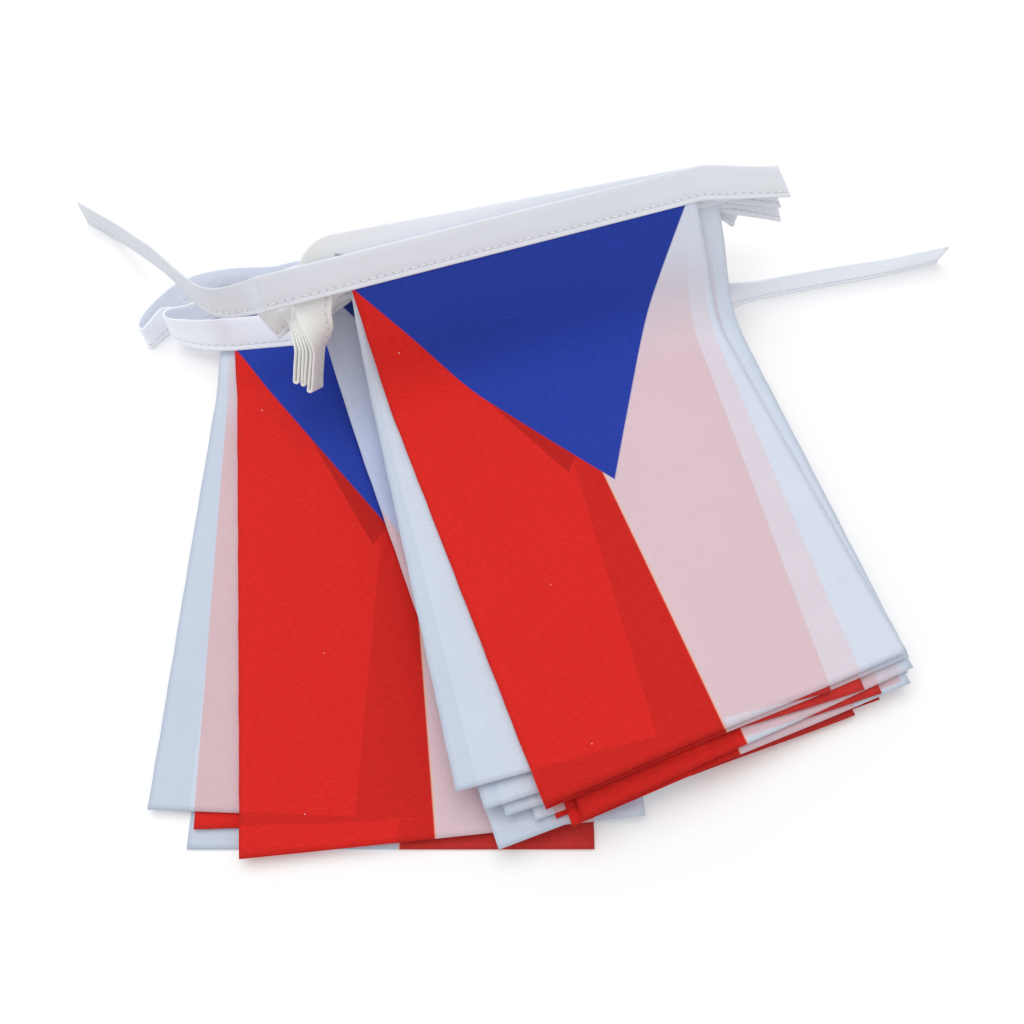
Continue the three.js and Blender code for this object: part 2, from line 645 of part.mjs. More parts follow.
// Closed strip of rectangular section along the stations.
function tapeGeometry(stations) {
  const positions = [];
  const count = stations.length;
  stations.forEach((current, k) => {
    const before = stations[Math.max(k - 1, 0)].point;
    const after = stations[Math.min(k + 1, count - 1)].point;
    const forward = new THREE.Vector3().subVectors(after, before).normalize();
    const width = current.width;
    const face = new THREE.Vector3().crossVectors(forward, width).normalize();
    for (const [w, f] of [[-1, -1], [1, -1], [1, 1], [-1, 1]]) {
      const corner = current.point.clone()
        .addScaledVector(width, w * TAPE_WIDTH / 2)
        .addScaledVector(face, f * TAPE_THICKNESS / 2);
      positions.push(corner.x, corner.y, corner.z);
    }
  });
  const faces = [];
  for (let k = 0; k < count - 1; k += 1) {
    for (let side = 0; side < 4; side += 1) {
      const a = 4 * k + side;
      const b = 4 * k + (side + 1) % 4;
      faces.push(a, b, b + 4, a, b + 4, a + 4);
    }
  }
  const end = 4 * (count - 1);
  faces.push(0, 2, 1, 0, 3, 2);
  faces.push(end, end + 1, end + 2, end, end + 2, end + 3);
  return indexedGeometry(positions, faces);
}

function namedMesh(name, geometry, look) {
  const mesh = new THREE.Mesh(geometry, new THREE.MeshStandardMaterial({ ...look, metalness: 0 }));
  mesh.name = name;
  return mesh;
}

// Colour of the cloth on the left half of a flag as it lies. Every second flag lies face down.
function leftHalfLook(place) {
  return place % 2 === 0 ? RED_CLOTH : WHITE_CLOTH;
}

const bunting = new THREE.Group();
upperFlags.forEach((flag, layer) => {
  bunting.add(namedMesh(flag.name, upperFlagGeometry(flag, layer), leftHalfLook(layer)));
});
lowerFlags.forEach((flag, k) => {
  const geometry = lowerFlagGeometry(flag, lowerFlags.length - 1 - k);
  bunting.add(namedMesh(flag.name, geometry, leftHalfLook(k)));
});
bunting.add(namedMesh('binding_tape', tapeGeometry(tapeStations()), WHITE_TAPE));
bunting.position.set(-LAYOUT_CENTRE.x, -LAYOUT_CENTRE.y, 0);

export default bunting;
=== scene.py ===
"""Folded string of flag bunting: sixteen printed flags sewn into one white binding tape.

The string lies folded back and forth in two stacks. Lengths are in millimetres in the layout that the
solids share, and become metres in the row frame when a mesh is written.
"""

import logging
import math
from dataclasses import dataclass, field
from enum import Enum

import bpy
import numpy as np
from mathutils import Euler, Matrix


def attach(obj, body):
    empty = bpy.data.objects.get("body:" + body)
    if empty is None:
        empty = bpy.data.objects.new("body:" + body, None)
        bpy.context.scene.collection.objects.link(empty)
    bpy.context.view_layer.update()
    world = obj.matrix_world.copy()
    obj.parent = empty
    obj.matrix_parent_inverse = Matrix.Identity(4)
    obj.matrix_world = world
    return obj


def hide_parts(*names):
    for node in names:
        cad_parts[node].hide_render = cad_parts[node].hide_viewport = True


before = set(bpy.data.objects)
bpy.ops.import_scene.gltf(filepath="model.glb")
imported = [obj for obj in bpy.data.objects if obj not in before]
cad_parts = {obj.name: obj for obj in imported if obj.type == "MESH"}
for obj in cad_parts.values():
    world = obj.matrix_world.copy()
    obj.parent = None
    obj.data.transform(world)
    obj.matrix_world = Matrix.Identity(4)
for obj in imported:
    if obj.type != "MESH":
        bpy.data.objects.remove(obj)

Array = np.ndarray
Colour = tuple[float, float, float, float]
# Marks along the tape: the first is painted shade, a warmer and slightly darker white; the second is painted light
# where above 0 and painted shade where below 0.
MARKS = ("warm_shade", "lift")
LOG = logging.getLogger("bunting")
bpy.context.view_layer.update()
MM = 0.001
LAYOUT_CENTRE = np.array([-1.43, 4.96, 0.0])


def ease(share: Array) -> Array:
    """Soft step from 0 to 1: 3u^2 - 2u^3 of the share u held between 0 and 1."""
    u = np.clip(share, 0.0, 1.0)
    return u * u * (3.0 - 2.0 * u)


def round_step(share: Array) -> Array:
    """Soft step from 0 to 1: half of 1 minus the cosine of pi times the share."""
    return 0.5 - 0.5 * np.cos(np.pi * np.clip(share, 0.0, 1.0))


def mix(start: Array, end: Array, share: Array) -> Array:
    """Value that lies at the given share of the way from start to end."""
    return start + (end - start) * share


def unit(vectors: Array) -> Array:
    """Vectors divided by their lengths along the last axis."""
    return vectors / np.linalg.norm(vectors, axis=-1, keepdims=True)


def compass(lean: float, heading: float) -> Array:
    """Unit vector that rises by lean above level and points to heading, both in degrees."""
    a, h = math.radians(lean), math.radians(heading)
    return np.array([math.cos(a) * math.cos(h), math.cos(a) * math.sin(h), math.sin(a)])


class Face(Enum):
    """Which side of a flag's print lies upwards."""

    UP = "up"
    DOWN = "down"


@dataclass(frozen=True)
class UpperStack:
    """Surface on which the upper flags lie: flat, then one round bend, then a straight slope."""

    turn: float = math.radians(18)
    start_y: float = 43.0
    bend_angle: float = math.radians(51)
    bend_radius: float = 26.0
    layers: int = 12
    flag_pitch: float = 1.3
    tape_pitch: float = 2.0
    half_cloth: float = 0.5
    settle: float = 36.0
    lift: float = 5.2
    tape_lift: float = 8.8
    lift_edge: float = 50.0
    lift_edge_slope: float = 0.22
    lift_fade: float = 60.0

    def layer_pitch(self, along: Array) -> Array:
        """Distance between layers, eased from that of flags to that of the tape."""
        return mix(self.flag_pitch, self.tape_pitch, ease(along / self.settle))

    def lift_at(self, across: Array, along: Array) -> Array:
        """Height gained by lying on the lower stack, faded to the right on the flat part.

        Args:
            across: distance from left to right in the unrolled stack.
            along: unrolled distance from the start of the bend.

        Returns:
            The lift in millimetres.
        """
        edge = self.lift_edge + self.lift_edge_slope * along
        flat = self.lift * (1.0 - round_step((across - edge) / self.lift_fade))
        return mix(flat, self.tape_lift, ease(along / self.settle))

    def point(self, across: Array, along: Array, depth: Array) -> Array:
        """Point of the stack, where the profile is a line, an arc of the bend radius and a line.

        Args:
            across: distance from left to right in the unrolled stack.
            along: unrolled distance from the start of the bend.
            depth: distance below the front flag's middle, square to the cloth.

        Returns:
            Points with x, y and z along the last axis.
        """
        across, along, depth = np.broadcast_arrays(*(np.asarray(v, float) for v in (across, along, depth)))
        angle = np.clip(along / self.bend_radius, 0.0, self.bend_angle)
        straight = along - self.bend_radius * angle
        forward = (self.bend_radius + depth) * np.sin(angle) + straight * np.cos(angle)
        rise = self.bend_radius - (self.bend_radius + depth) * np.cos(angle) + straight * np.sin(angle)
        front = self.half_cloth + (self.layers - 1) * self.flag_pitch
        c, s = math.cos(self.turn), math.sin(self.turn)
        return np.stack(
            [
                across * c - forward * s,
                self.start_y + across * s + forward * c,
                front + rise + self.lift_at(across, along),
            ],
            axis=-1,
        )

    def width_direction(self, turn: Array) -> Array:
        """Direction up the slope, square to a line that is turned by an angle within the slope."""
        turn = np.asarray(turn, float)
        away, left = np.cos(turn) * math.cos(self.bend_angle), -np.sin(turn)
        c, s = math.cos(self.turn), math.sin(self.turn)
        return np.stack([left * c - away * s, left * s + away * c, np.cos(turn) * math.sin(self.bend_angle)], -1)


@dataclass(frozen=True)
class LowerStack:
    """Four flat layers that rise a little to the passes of the tape."""

    start: float = 50.0
    start_slope: float = 0.06
    reference_x: float = -120.0
    length: float = 16.0
    flag_pitch: float = 1.3
    tape_pitch: float = 2.0
    half_cloth: float = 0.5

    def height(self, x: Array, y: Array, level: float) -> Array:
        """Height of the middle of a layer: level times the flags' pitch, eased to the tape's pitch.

        Args:
            x: place to the right.
            y: place away from the viewer.
            level: 0 for the lowest layer.

        Returns:
            Height above the surface.
        """
        start = self.start + self.start_slope * (x - self.reference_x)
        share = ease((y - start) / self.length)
        return self.half_cloth + mix(level * self.flag_pitch, (level + 1.0) * self.tape_pitch, share)


UPPER = UpperStack()
LOWER = LowerStack()
DRAW_IN = 0.03


@dataclass(frozen=True)
class UpperFlag:
    """Flag of the upper stack, given by its free left corner, its edges' angles and its size."""

    name: str
    face: Face
    across: float
    along: float
    turn: float
    lean: float
    hoist: float
    width: float
    length: float
    print_reach: float = 0.965

    def place(self, i: Array, j: Array) -> tuple[Array, Array]:
        """Place in the unrolled stack of a point of the flag.

        Args:
            i: distance from the left edge.
            j: distance from the free edge.

        Returns:
            Across and along, the flag being drawn in towards its sewn edge.
        """
        middle = self.width / 2
        out = middle + (i - middle) * (1.0 - DRAW_IN * j / self.length)
        turn, lean = math.radians(self.turn), math.radians(self.lean)
        across = self.across + out * math.cos(turn) - j * math.sin(lean)
        along = self.along + out * math.sin(turn) + j * math.cos(lean)
        return across, along

    def locate(self, across: Array, along: Array, points: Array) -> tuple[Array, Array]:
        """Inverse of place: two linear equations in the drawn-in distance and in j.

        Args:
            across: distance from left to right in the unrolled stack.
            along: unrolled distance from the start of the bend.
            points: the same places in space, which this stack has no use for.

        Returns:
            Distances i and j on this flag.
        """
        turn, lean = math.radians(self.turn), math.radians(self.lean)
        dx, dy = across - self.across, along - self.along
        scale = math.cos(turn - lean)
        out = (dx * math.cos(lean) + dy * math.sin(lean)) / scale
        j = (dy * math.cos(turn) - dx * math.sin(turn)) / scale
        middle = self.width / 2
        return middle + (out - middle) / (1.0 - DRAW_IN * j / self.length), j

    def hoist_length(self, i: Array) -> Array:
        """Distance j at which the line i meets the sewn edge, a straight line in the unrolled stack."""
        across, along = self.place(np.zeros(()), np.full((), self.length))
        slope = math.tan(math.radians(self.hoist))
        near_across, near_along = self.place(i, np.zeros_like(i))
        far_across, far_along = self.place(i, np.full_like(i, self.length))
        near = near_along - along - (near_across - across) * slope
        far = far_along - along - (far_across - across) * slope
        return -near * self.length / (far - near)

    def print_height(self, i: Array, j: Array) -> Array:
        """Share of the way from the free edge to the end of the print, along the line i."""
        return self.print_reach * j / self.hoist_length(i)

    def pass_place(self, side: int, distance: Array) -> tuple[Array, Array]:
        """Place of the tape's middle line on this flag's pass.

        Args:
            side: 1 to measure from the right edge, otherwise from the left edge.
            distance: how far along the pass from that edge, positive to the right.

        Returns:
            Across and along.
        """
        i = np.full((), self.width if side > 0 else 0.0)
        across, along = self.place(i, self.hoist_length(i))
        angle, out = math.radians(self.hoist), TAPE.seam_gap + TAPE.width / 2
        return (
            across + distance * math.cos(angle) - out * math.sin(angle),
            along + distance * math.sin(angle) + out * math.cos(angle),
        )


@dataclass(frozen=True)
class LowerFlag:
    """Flag of the lower stack, a rectangle laid flat and turned about its free left corner."""

    name: str
    face: Face
    x: float
    y: float
    turn: float
    width: float
    length: float
    lean: tuple[float, float]

    def place(self, i: Array, j: Array) -> tuple[Array, Array]:
        """Place x, y of the point at i from the left edge and j from the free edge."""
        c, s = math.cos(math.radians(self.turn)), math.sin(math.radians(self.turn))
        return self.x + i * c - j * s, self.y + i * s + j * c

    def print_height(self, i: Array, j: Array) -> Array:
        """Share of the way from the free edge to the sewn edge."""
        return j / self.length

    def locate(self, across: Array, along: Array, points: Array) -> tuple[Array, Array]:
        """Distances i and j on this flag below the given points, by turning them back.

        Args:
            across: unused, as this stack isn't unrolled.
            along: unused.
            points: places in space.

        Returns:
            Distances i and j on this flag.
        """
        c, s = math.cos(math.radians(self.turn)), math.sin(math.radians(self.turn))
        dx, dy = points[..., 0] - self.x, points[..., 1] - self.y
        return dx * c + dy * s, dy * c - dx * s


UPPER_FLAGS = [
    UpperFlag("flag_01", Face.UP, -39.4, -156.7, 5.1, 3.5, -0.4, 142, 210, print_reach=1.0),
    UpperFlag("flag_02", Face.DOWN, -66.2, -142.5, -2.7, -4.0, -3.7, 137, 204),
    UpperFlag("flag_03", Face.UP, -39.1, -157.3, 4.8, 0.8, -1.5, 143, 209),
    UpperFlag("flag_04", Face.DOWN, -58.8, -150.7, -0.3, -2.2, -3.0, 142, 206),
    UpperFlag("flag_05", Face.UP, -28.1, -164.1, 6.5, 2.5, -1.0, 133, 212),
    UpperFlag("flag_06", Face.DOWN, -52.4, -154.5, 0.2, -1.8, -2.5, 142, 207),
    UpperFlag("flag_07", Face.UP, -31.9, -164.5, 4.7, 1.6, -1.0, 134, 211),
    UpperFlag("flag_08", Face.DOWN, -43.1, -158.6, 2.6, -0.2, -1.5, 142, 208),
    UpperFlag("flag_09", Face.UP, -36.0, -160.0, 4.4, 1.8, -1.0, 140, 208),
    UpperFlag("flag_10", Face.DOWN, -57.8, -163.5, 2.5, 2.5, -1.0, 137, 210),
    UpperFlag("flag_11", Face.UP, -38.0, -158.0, 4.0, 2.5, -1.0, 140, 206),
    UpperFlag("flag_12", Face.DOWN, -49.0, -158.0, 1.4, 1.0, -1.0, 140, 206),
]
LOWER_FLAGS = [
    LowerFlag("flag_13", Face.UP, -93.0, -133.0, 6.0, 140, 203, (46, 8)),
    LowerFlag("flag_14", Face.DOWN, -127.0, -116.0, -2.0, 140, 205, (0, 0)),
    LowerFlag("flag_15", Face.UP, -110.5, -122.5, 2.0, 141, 206, (0, 0)),
    LowerFlag("flag_16", Face.DOWN, -112.5, -129.0, 0.0, 141, 205, (0, 0)),
]
ALL_FLAGS = [*UPPER_FLAGS, *LOWER_FLAGS]
MAPS_BELOW = ("below", "deeper", "deepest")


class Signal:
    """Output of a shader node. Plain arithmetic with it adds Math nodes."""

    def __init__(self, bench: "Bench", socket: bpy.types.NodeSocket) -> None:
        """Keep the socket and the bench that adds nodes to its tree."""
        self.bench, self.socket = bench, socket

    def __add__(self, other: "Signal | float") -> "Signal":
        """Sum of this signal and another value."""
        return self.bench.math("ADD", self, other)

    def __sub__(self, other: "Signal | float") -> "Signal":
        """This signal less another value."""
        return self.bench.math("SUBTRACT", self, other)

    def __rsub__(self, other: float) -> "Signal":
        """A number less this signal."""
        return self.bench.math("SUBTRACT", other, self)

    def __mul__(self, other: "Signal | float") -> "Signal":
        """Product of this signal and another value."""
        return self.bench.math("MULTIPLY", self, other)

    def toward(self, end: "Signal | float", share: "Signal") -> "Signal":
        """Value that lies at the given share of the way from this signal to end."""
        return self + (end - self) * share


class Bench:
    """Helper that adds shader nodes to one tree and joins them."""

    def __init__(self, tree: bpy.types.NodeTree) -> None:
        """Keep the tree that nodes are added to."""
        self.tree = tree

    def feed(self, socket: bpy.types.NodeSocket, value: object) -> None:
        """Give a socket its value.

        Args:
            socket: input of a node.
            value: signal that is linked to it, or a constant.
        """
        if isinstance(value, Signal):
            self.tree.links.new(value.socket, socket)
        else:
            socket.default_value = value

    def signal(self, kind: str, inputs: dict, output: int | str = 0, **settings: object) -> Signal:
        """Add a node and take one of its outputs.

        Args:
            kind: type of the node.
            inputs: values of its sockets, by number or name.
            output: number or name of the output.
            settings: properties of the node.

        Returns:
            The output as a signal.
        """
        node = self.tree.nodes.new(kind)
        for name, value in settings.items():
            setattr(node, name, value)
        for socket, value in inputs.items():
            self.feed(node.inputs[socket], value)
        return Signal(self, node.outputs[output])

    def math(self, operation: str, *values: Signal | float) -> Signal:
        """Result of a Math node on one to three values."""
        return self.signal("ShaderNodeMath", dict(enumerate(values)), operation=operation)

    def step(self, value: Signal, low: float, high: float) -> Signal:
        """Soft step of a value from 0 at low to 1 at high."""
        inputs = dict(enumerate((value, low, high, 0.0, 1.0)))
        return self.signal("ShaderNodeMapRange", inputs, interpolation_type="SMOOTHSTEP")

    def blend(self, share: Signal | float, first: object, second: object, how: str = "MIX") -> Signal:
        """Colour that a share of the way leads from first to second, or to their product by MULTIPLY."""
        return self.signal("ShaderNodeMix", {0: share, 6: first, 7: second}, 2, data_type="RGBA", blend_type=how)

    def toned(self, shade: Signal, factor: Signal) -> Signal:
        """Colour multiplied by a factor."""
        return self.signal("ShaderNodeVectorMath", {0: shade, "Scale": factor}, operation="SCALE")

    def stretched(self, vector: Signal, scale: tuple[float, float, float]) -> Signal:
        """Vector multiplied by a scale along each axis."""
        return self.signal("ShaderNodeVectorMath", {0: vector, 1: scale}, operation="MULTIPLY")

    def noise(self, vector: Signal, scale: float = 1.0, detail: float = 2.0) -> Signal:
        """Value of a Noise texture on a vector."""
        return self.signal("ShaderNodeTexNoise", {"Vector": vector, "Scale": scale, "Detail": detail})

    def uv(self, name: str) -> Signal:
        """Vector of the named UV map."""
        return self.signal("ShaderNodeUVMap", {}, uv_map=name)

    def split(self, vector: Signal) -> tuple[Signal, Signal]:
        """First two numbers of a vector or a colour."""
        first = self.signal("ShaderNodeSeparateXYZ", {0: vector})
        return first, Signal(self, first.socket.node.outputs[1])

    def bump(self, height: Signal, strength: float, distance: float) -> Signal:
        """Normal from a height, with a strength and a distance in metres."""
        return self.signal("ShaderNodeBump", {"Strength": strength, "Distance": distance, "Height": height})


def new_material(name: str, constants: dict) -> tuple[bpy.types.Material, Bench, object]:
    """Principled material with constants on its shader's sockets.

    Args:
        name: the material's name.
        constants: values by the names of the sockets.

    Returns:
        The material, a bench for its nodes, and the shader's sockets.
    """
    material = bpy.data.materials.new(name)
    material.use_nodes = True
    sockets = material.node_tree.nodes["Principled BSDF"].inputs
    for socket, value in constants.items():
        sockets[socket].default_value = value
    return material, Bench(material.node_tree), sockets


def colour(red: float, green: float, blue: float) -> Colour:
    """Linear colour from screen values of 0 to 255, by the usual 2.4 power curve."""
    linear = [(v / 255 / 12.92) if v < 10.3 else ((v / 255 + 0.055) / 1.055) ** 2.4 for v in (red, green, blue)]
    return (*linear, 1.0)


@dataclass(frozen=True)
class Regions:
    """Parts of the print at one place, each a share from 0 to 1.

    The last three are the thin line round the white, its stretch beside the blue, and the flag itself.
    """

    blue: Signal
    white_half: Signal
    line: Signal
    by_blue: Signal
    present: Signal


@dataclass(frozen=True)
class ClothFinish:
    """Thin printed polyester: red and white halves, a blue triangle, the next flags showing through, and painted
    shade of the ground where no flag lies below.
    """

    name: str
    red: Colour
    white: Colour
    blue: Colour
    edge_by_red: Colour = colour(246, 196, 168)
    edge_by_blue: Colour = colour(150, 190, 230)
    edge_cover: float = 0.7
    edge_softness: float = 0.0022
    clear: Colour = (1.0, 1.0, 1.0, 1.0)
    tint_of_red: Colour = (1.0, 0.1, 0.03, 1.0)
    tint_of_blue: Colour = (0.35, 0.42, 0.85, 1.0)
    # Painted shade: the grey-blue of shaded ground seen through a single sheet, and the darkening of print over it.
    ground_shade_tint: Colour = (0.62, 0.69, 0.80, 1.0)
    shade_of_red: float = 0.86
    shade_of_blue: float = 0.70
    ground_shade: float = 0.94
    half_line: float = 0.48
    apex: tuple[float, float] = (0.5, 0.5)
    left_spread: float = 0.985
    right_spread: float = 0.93
    flag_ends: tuple[float, float] = (0.4985, 0.5005)
    sheer: float = 0.34
    sheer_below: float = 0.5
    sheer_from: float = 0.03
    sheer_full: float = 0.30
    grain_scale: tuple[float, float, float] = (0.4, 1.3, 1.0)
    grain_detail: float = 4.0
    grain_of_print: float = 0.5
    grain_of_white: float = 0.14
    cloud_scale: float = 0.035
    cloud_tone: float = 0.07
    lint: Colour = colour(235, 232, 235)
    lint_cover: float = 0.7
    lint_scale: float = 0.085
    lint_radius: tuple[float, float] = (0.018, 0.03)
    lint_chance: tuple[float, float] = (0.6, 0.62)
    thread_pitch: float = 0.62
    slub_stretch: tuple[float, float, float] = (0.25, 2.4, 1.0)
    slub_scale: float = 0.9
    bump_strength: float = 0.5
    bump_depth: float = 0.00015
    roughness: float = 0.72
    roughness_span: float = 0.16
    width_mm: float = 140.0
    length_mm: float = 210.0

    def regions(self, bench: Bench, uv_name: str) -> Regions:
        """Parts of the print at the place given by a UV map.

        The blue triangle is where v passes the two straight lines that run from the apex to the sewn
        edge, the red half is where u is below the dividing line, and the rest is white.

        Args:
            bench: where the nodes go.
            uv_name: UV map that holds the place on the flag.

        Returns:
            The shares of the parts.
        """
        u, v = bench.split(bench.uv(uv_name))
        side, rise = u - self.apex[0], v - self.apex[1]
        inside = bench.math("MINIMUM", side + rise * self.left_spread, rise * self.right_spread - side)
        past_half, soft = u - self.half_line, self.edge_softness
        beside = bench.math("MINIMUM", past_half, inside * -1.0)
        from_middle = [bench.math("ABSOLUTE", axis - 0.5) for axis in (u, v)]
        return Regions(
            blue=bench.step(inside, -soft, soft),
            white_half=bench.step(past_half, -soft, soft),
            line=bench.step(beside, -2 * soft, 0.0) - bench.step(beside, 0.0, 2 * soft),
            by_blue=bench.step(past_half + inside, -soft, soft),
            present=1.0 - bench.step(bench.math("MAXIMUM", *from_middle), *self.flag_ends),
        )

    def seen_through(self, bench: Bench, uv_name: str, under: tuple | None) -> tuple[Signal, Signal]:
        """What a flag below adds: a tint seen through white cloth and a shade seen through red or blue.

        Args:
            bench: where the nodes go.
            uv_name: UV map that holds the place on the flag below.
            under: tint and shade of what lies below that one, or None for the ground, whose tint and shade are
                painted shade of the ground beneath the cloth.

        Returns:
            Tint and shade, those of what lies under it where this flag doesn't reach.
        """
        part = self.regions(bench, uv_name)
        # Where no flag lies below, painted shade of the ground.
        tint_under, shade_under = under or (self.ground_shade_tint, self.ground_shade)
        white = bench.blend(self.sheer_below, self.clear, tint_under)
        tint = bench.blend(part.blue, bench.blend(part.white_half, self.tint_of_red, white), self.tint_of_blue)
        shade = 1.0 - (1.0 - part.white_half) * (1.0 - self.shade_of_red)
        shade = shade.toward(self.shade_of_blue, part.blue)
        return bench.blend(part.present, tint_under, tint), shade.toward(shade_under, 1.0 - part.present)

    def print_colour(self, bench: Bench, part: Regions) -> Signal:
        """Colour of the print with what shows through it.

        Args:
            bench: where the nodes go.
            part: parts of this flag's own print.

        Returns:
            The colour before grain and lint.
        """
        under = None
        for name in reversed(MAPS_BELOW):
            under = self.seen_through(bench, name, under)
        tint, shade = under
        _, height = bench.split(bench.uv("cloth"))
        sheer = bench.step(1.0 - height, self.sheer_from, self.sheer_full) * self.sheer
        white = bench.blend(1.0, self.white, bench.blend(sheer, self.clear, tint), "MULTIPLY")
        printed = bench.toned(bench.blend(part.blue, self.red, self.blue), shade.toward(1.0, part.blue))
        shown = bench.blend(part.white_half, printed, bench.blend(part.blue, white, printed))
        edge = bench.blend(part.by_blue, self.edge_by_red, self.edge_by_blue)
        return bench.blend(part.line * (1.0 - part.blue) * self.edge_cover, shown, edge)

    def lint_share(self, bench: Bench, cloth: Signal) -> Signal:
        """Share of lint: round specks at the middles of a few cells of a Voronoi pattern.

        Args:
            bench: where the nodes go.
            cloth: place on the flag in millimetres.

        Returns:
            The share from 0 to 1.
        """
        inputs = {"Vector": cloth, "Scale": self.lint_scale}
        distance = bench.signal("ShaderNodeTexVoronoi", inputs, "Distance")
        chance, _ = bench.split(Signal(bench, distance.socket.node.outputs["Color"]))
        dot = 1.0 - bench.step(distance, *self.lint_radius)
        return dot * bench.step(chance, *self.lint_chance) * self.lint_cover

    def weave(self, bench: Bench, cloth: Signal) -> Signal:
        """Height of a plain weave: product of two sine waves with the threads' pitch, plus slubs.

        Args:
            bench: where the nodes go.
            cloth: place on the flag in millimetres.

        Returns:
            Height between about 0 and 1.
        """
        turn = 2 * math.pi / self.thread_pitch
        warp, weft = (bench.math("SINE", axis * turn) for axis in bench.split(cloth))
        return warp * weft * 0.5 + bench.noise(bench.stretched(cloth, self.slub_stretch), self.slub_scale)

    def build(self) -> bpy.types.Material:
        """Make the material.

        Returns:
            A Principled material whose colour, bump and roughness come from nodes.
        """
        constants = {"Specular IOR Level": 0.12, "Sheen Weight": 0.05, "Sheen Roughness": 0.5}
        material, bench, sockets = new_material(self.name, constants)
        part = self.regions(bench, "cloth")
        cloth = bench.stretched(bench.uv("cloth"), (self.width_mm, self.length_mm, 1.0))
        grain = bench.noise(bench.stretched(cloth, self.grain_scale), 1.0, self.grain_detail)
        clouds = bench.noise(cloth, self.cloud_scale)
        plain = part.white_half * (1.0 - part.blue)
        span = self.grain_of_print - plain * (self.grain_of_print - self.grain_of_white)
        tone = ((grain - 0.5) * span + 1.0) * (clouds * self.cloud_tone + (1.0 - self.cloud_tone / 2))
        toned = bench.toned(self.print_colour(bench, part), tone)
        bench.feed(sockets["Base Color"], bench.blend(self.lint_share(bench, cloth), toned, self.lint))
        normal = bench.bump(self.weave(bench, cloth), self.bump_strength, self.bump_depth)
        bench.feed(sockets["Normal"], normal)
        bench.feed(sockets["Roughness"], grain * self.roughness_span + self.roughness)
        return material


@dataclass(frozen=True)
class Stitch:
    """One stitch of the sewing thread, and the needle's hole between two."""

    pitch: float = 3.2
    length: float = 2.6
    radius: float = 0.2
    end_share: float = 0.35
    end_turn: float = 0.12
    rise: float = 0.06
    rings: int = 5
    around: int = 6
    pinch: float = 0.23
    pinch_reach: float = 1.0
    hole_core: float = 0.15
    hole_radius: float = 0.5
    groove_core: float = 0.25
    groove_reach: float = 0.7


@dataclass(frozen=True)
class TapeFinish:
    """White woven tape, with painted shade as a warmer, slightly darker white where its folds hang free, painted
    light or shade run by run, and a faint painted glow.
    """

    name: str
    cool: Colour
    warm_shade_white: Colour
    seam_line: float
    stitch: Stitch = Stitch()
    hole_shade: float = 0.22
    groove_shade: float = 0.13
    painted_glow: float = 0.05
    painted_light_span: float = 0.16
    cloud_scale: tuple[float, float, float] = (0.05, 0.25, 1.0)
    cloud_tone: float = 0.08
    grain_scale: tuple[float, float, float] = (1.6, 1.6, 1.0)
    grain_tone: float = 0.05
    least_tone: float = 0.93
    rib_pitch: float = 0.55
    rib_height: float = 0.35
    bump_strength: float = 0.3
    bump_depth: float = 0.0003
    roughness: float = 0.54
    roughness_span: float = 0.12

    def build(self) -> bpy.types.Material:
        """Make the material.

        Returns:
            A Principled material with a fine rib across the tape.
        """
        constants = {"Specular IOR Level": 0.25, "Sheen Weight": 0.08}
        # Painted glow: the tape's own white emitted faintly, standing for light through the thin cloth and lifting
        # its shaded folds.
        constants |= {"Emission Color": self.cool, "Emission Strength": self.painted_glow}
        material, bench, sockets = new_material(self.name, constants)
        run = bench.uv("run")
        along, across = bench.split(run)
        warm_shade, lift = (bench.signal("ShaderNodeAttribute", {}, "Fac", attribute_name=mark) for mark in MARKS)
        clouds = bench.noise(bench.stretched(run, self.cloud_scale))
        grain = bench.noise(bench.stretched(run, self.grain_scale))
        tone = clouds * self.cloud_tone + self.least_tone + grain * self.grain_tone
        # Painted light and shade run by run: the white is scaled up or down by the lift mark.
        tone = tone * (lift * self.painted_light_span + 1.0) * (1.0 - self.seam_shade(bench, along, across))
        # Base colour leans to the warmer, slightly darker white where painted shade is marked.
        bench.feed(sockets["Base Color"], bench.toned(bench.blend(warm_shade, self.cool, self.warm_shade_white), tone))
        rib = bench.math("SINE", along * (2 * math.pi / self.rib_pitch))
        normal = bench.bump(rib * self.rib_height + clouds, self.bump_strength, self.bump_depth)
        bench.feed(sockets["Normal"], normal)
        bench.feed(sockets["Roughness"], grain * self.roughness_span + self.roughness)
        return material

    def seam_shade(self, bench: Bench, along: Signal, across: Signal) -> Signal:
        """Shade of the seam: its groove, and round holes of the needle halfway between two stitches.

        Args:
            bench: where the nodes go.
            along: place along the tape.
            across: place across it.

        Returns:
            Share of light that is lost, 0 away from the seam.
        """
        stitch, off = self.stitch, across - self.seam_line
        beside = (bench.math("FRACT", bench.math("DIVIDE", along, stitch.pitch)) - 0.5) * stitch.pitch
        distance = bench.math("SQRT", beside * beside + off * off)
        hole = 1.0 - bench.step(distance, stitch.hole_core, stitch.hole_radius)
        groove = 1.0 - bench.step(bench.math("ABSOLUTE", off), stitch.groove_core, stitch.groove_reach)
        return hole * self.hole_shade + groove * self.groove_shade


@dataclass(frozen=True)
class ThreadFinish:
    """Spun white sewing thread."""

    name: str
    dark: Colour
    light: Colour = colour(250, 250, 252)
    fibre_scale: float = 2600.0
    bump_strength: float = 0.4
    bump_depth: float = 0.0001

    def build(self) -> bpy.types.Material:
        """Make the material.

        Returns:
            A Principled material with fine twisted fibres in its colour and bump.
        """
        material, bench, sockets = new_material(self.name, {"Roughness": 0.55})
        fibres = bench.noise(bench.signal("ShaderNodeTexCoord", {}, "Object"), self.fibre_scale)
        bench.feed(sockets["Base Color"], bench.blend(fibres, self.dark, self.light))
        bench.feed(sockets["Normal"], bench.bump(fibres, self.bump_strength, self.bump_depth))
        return material


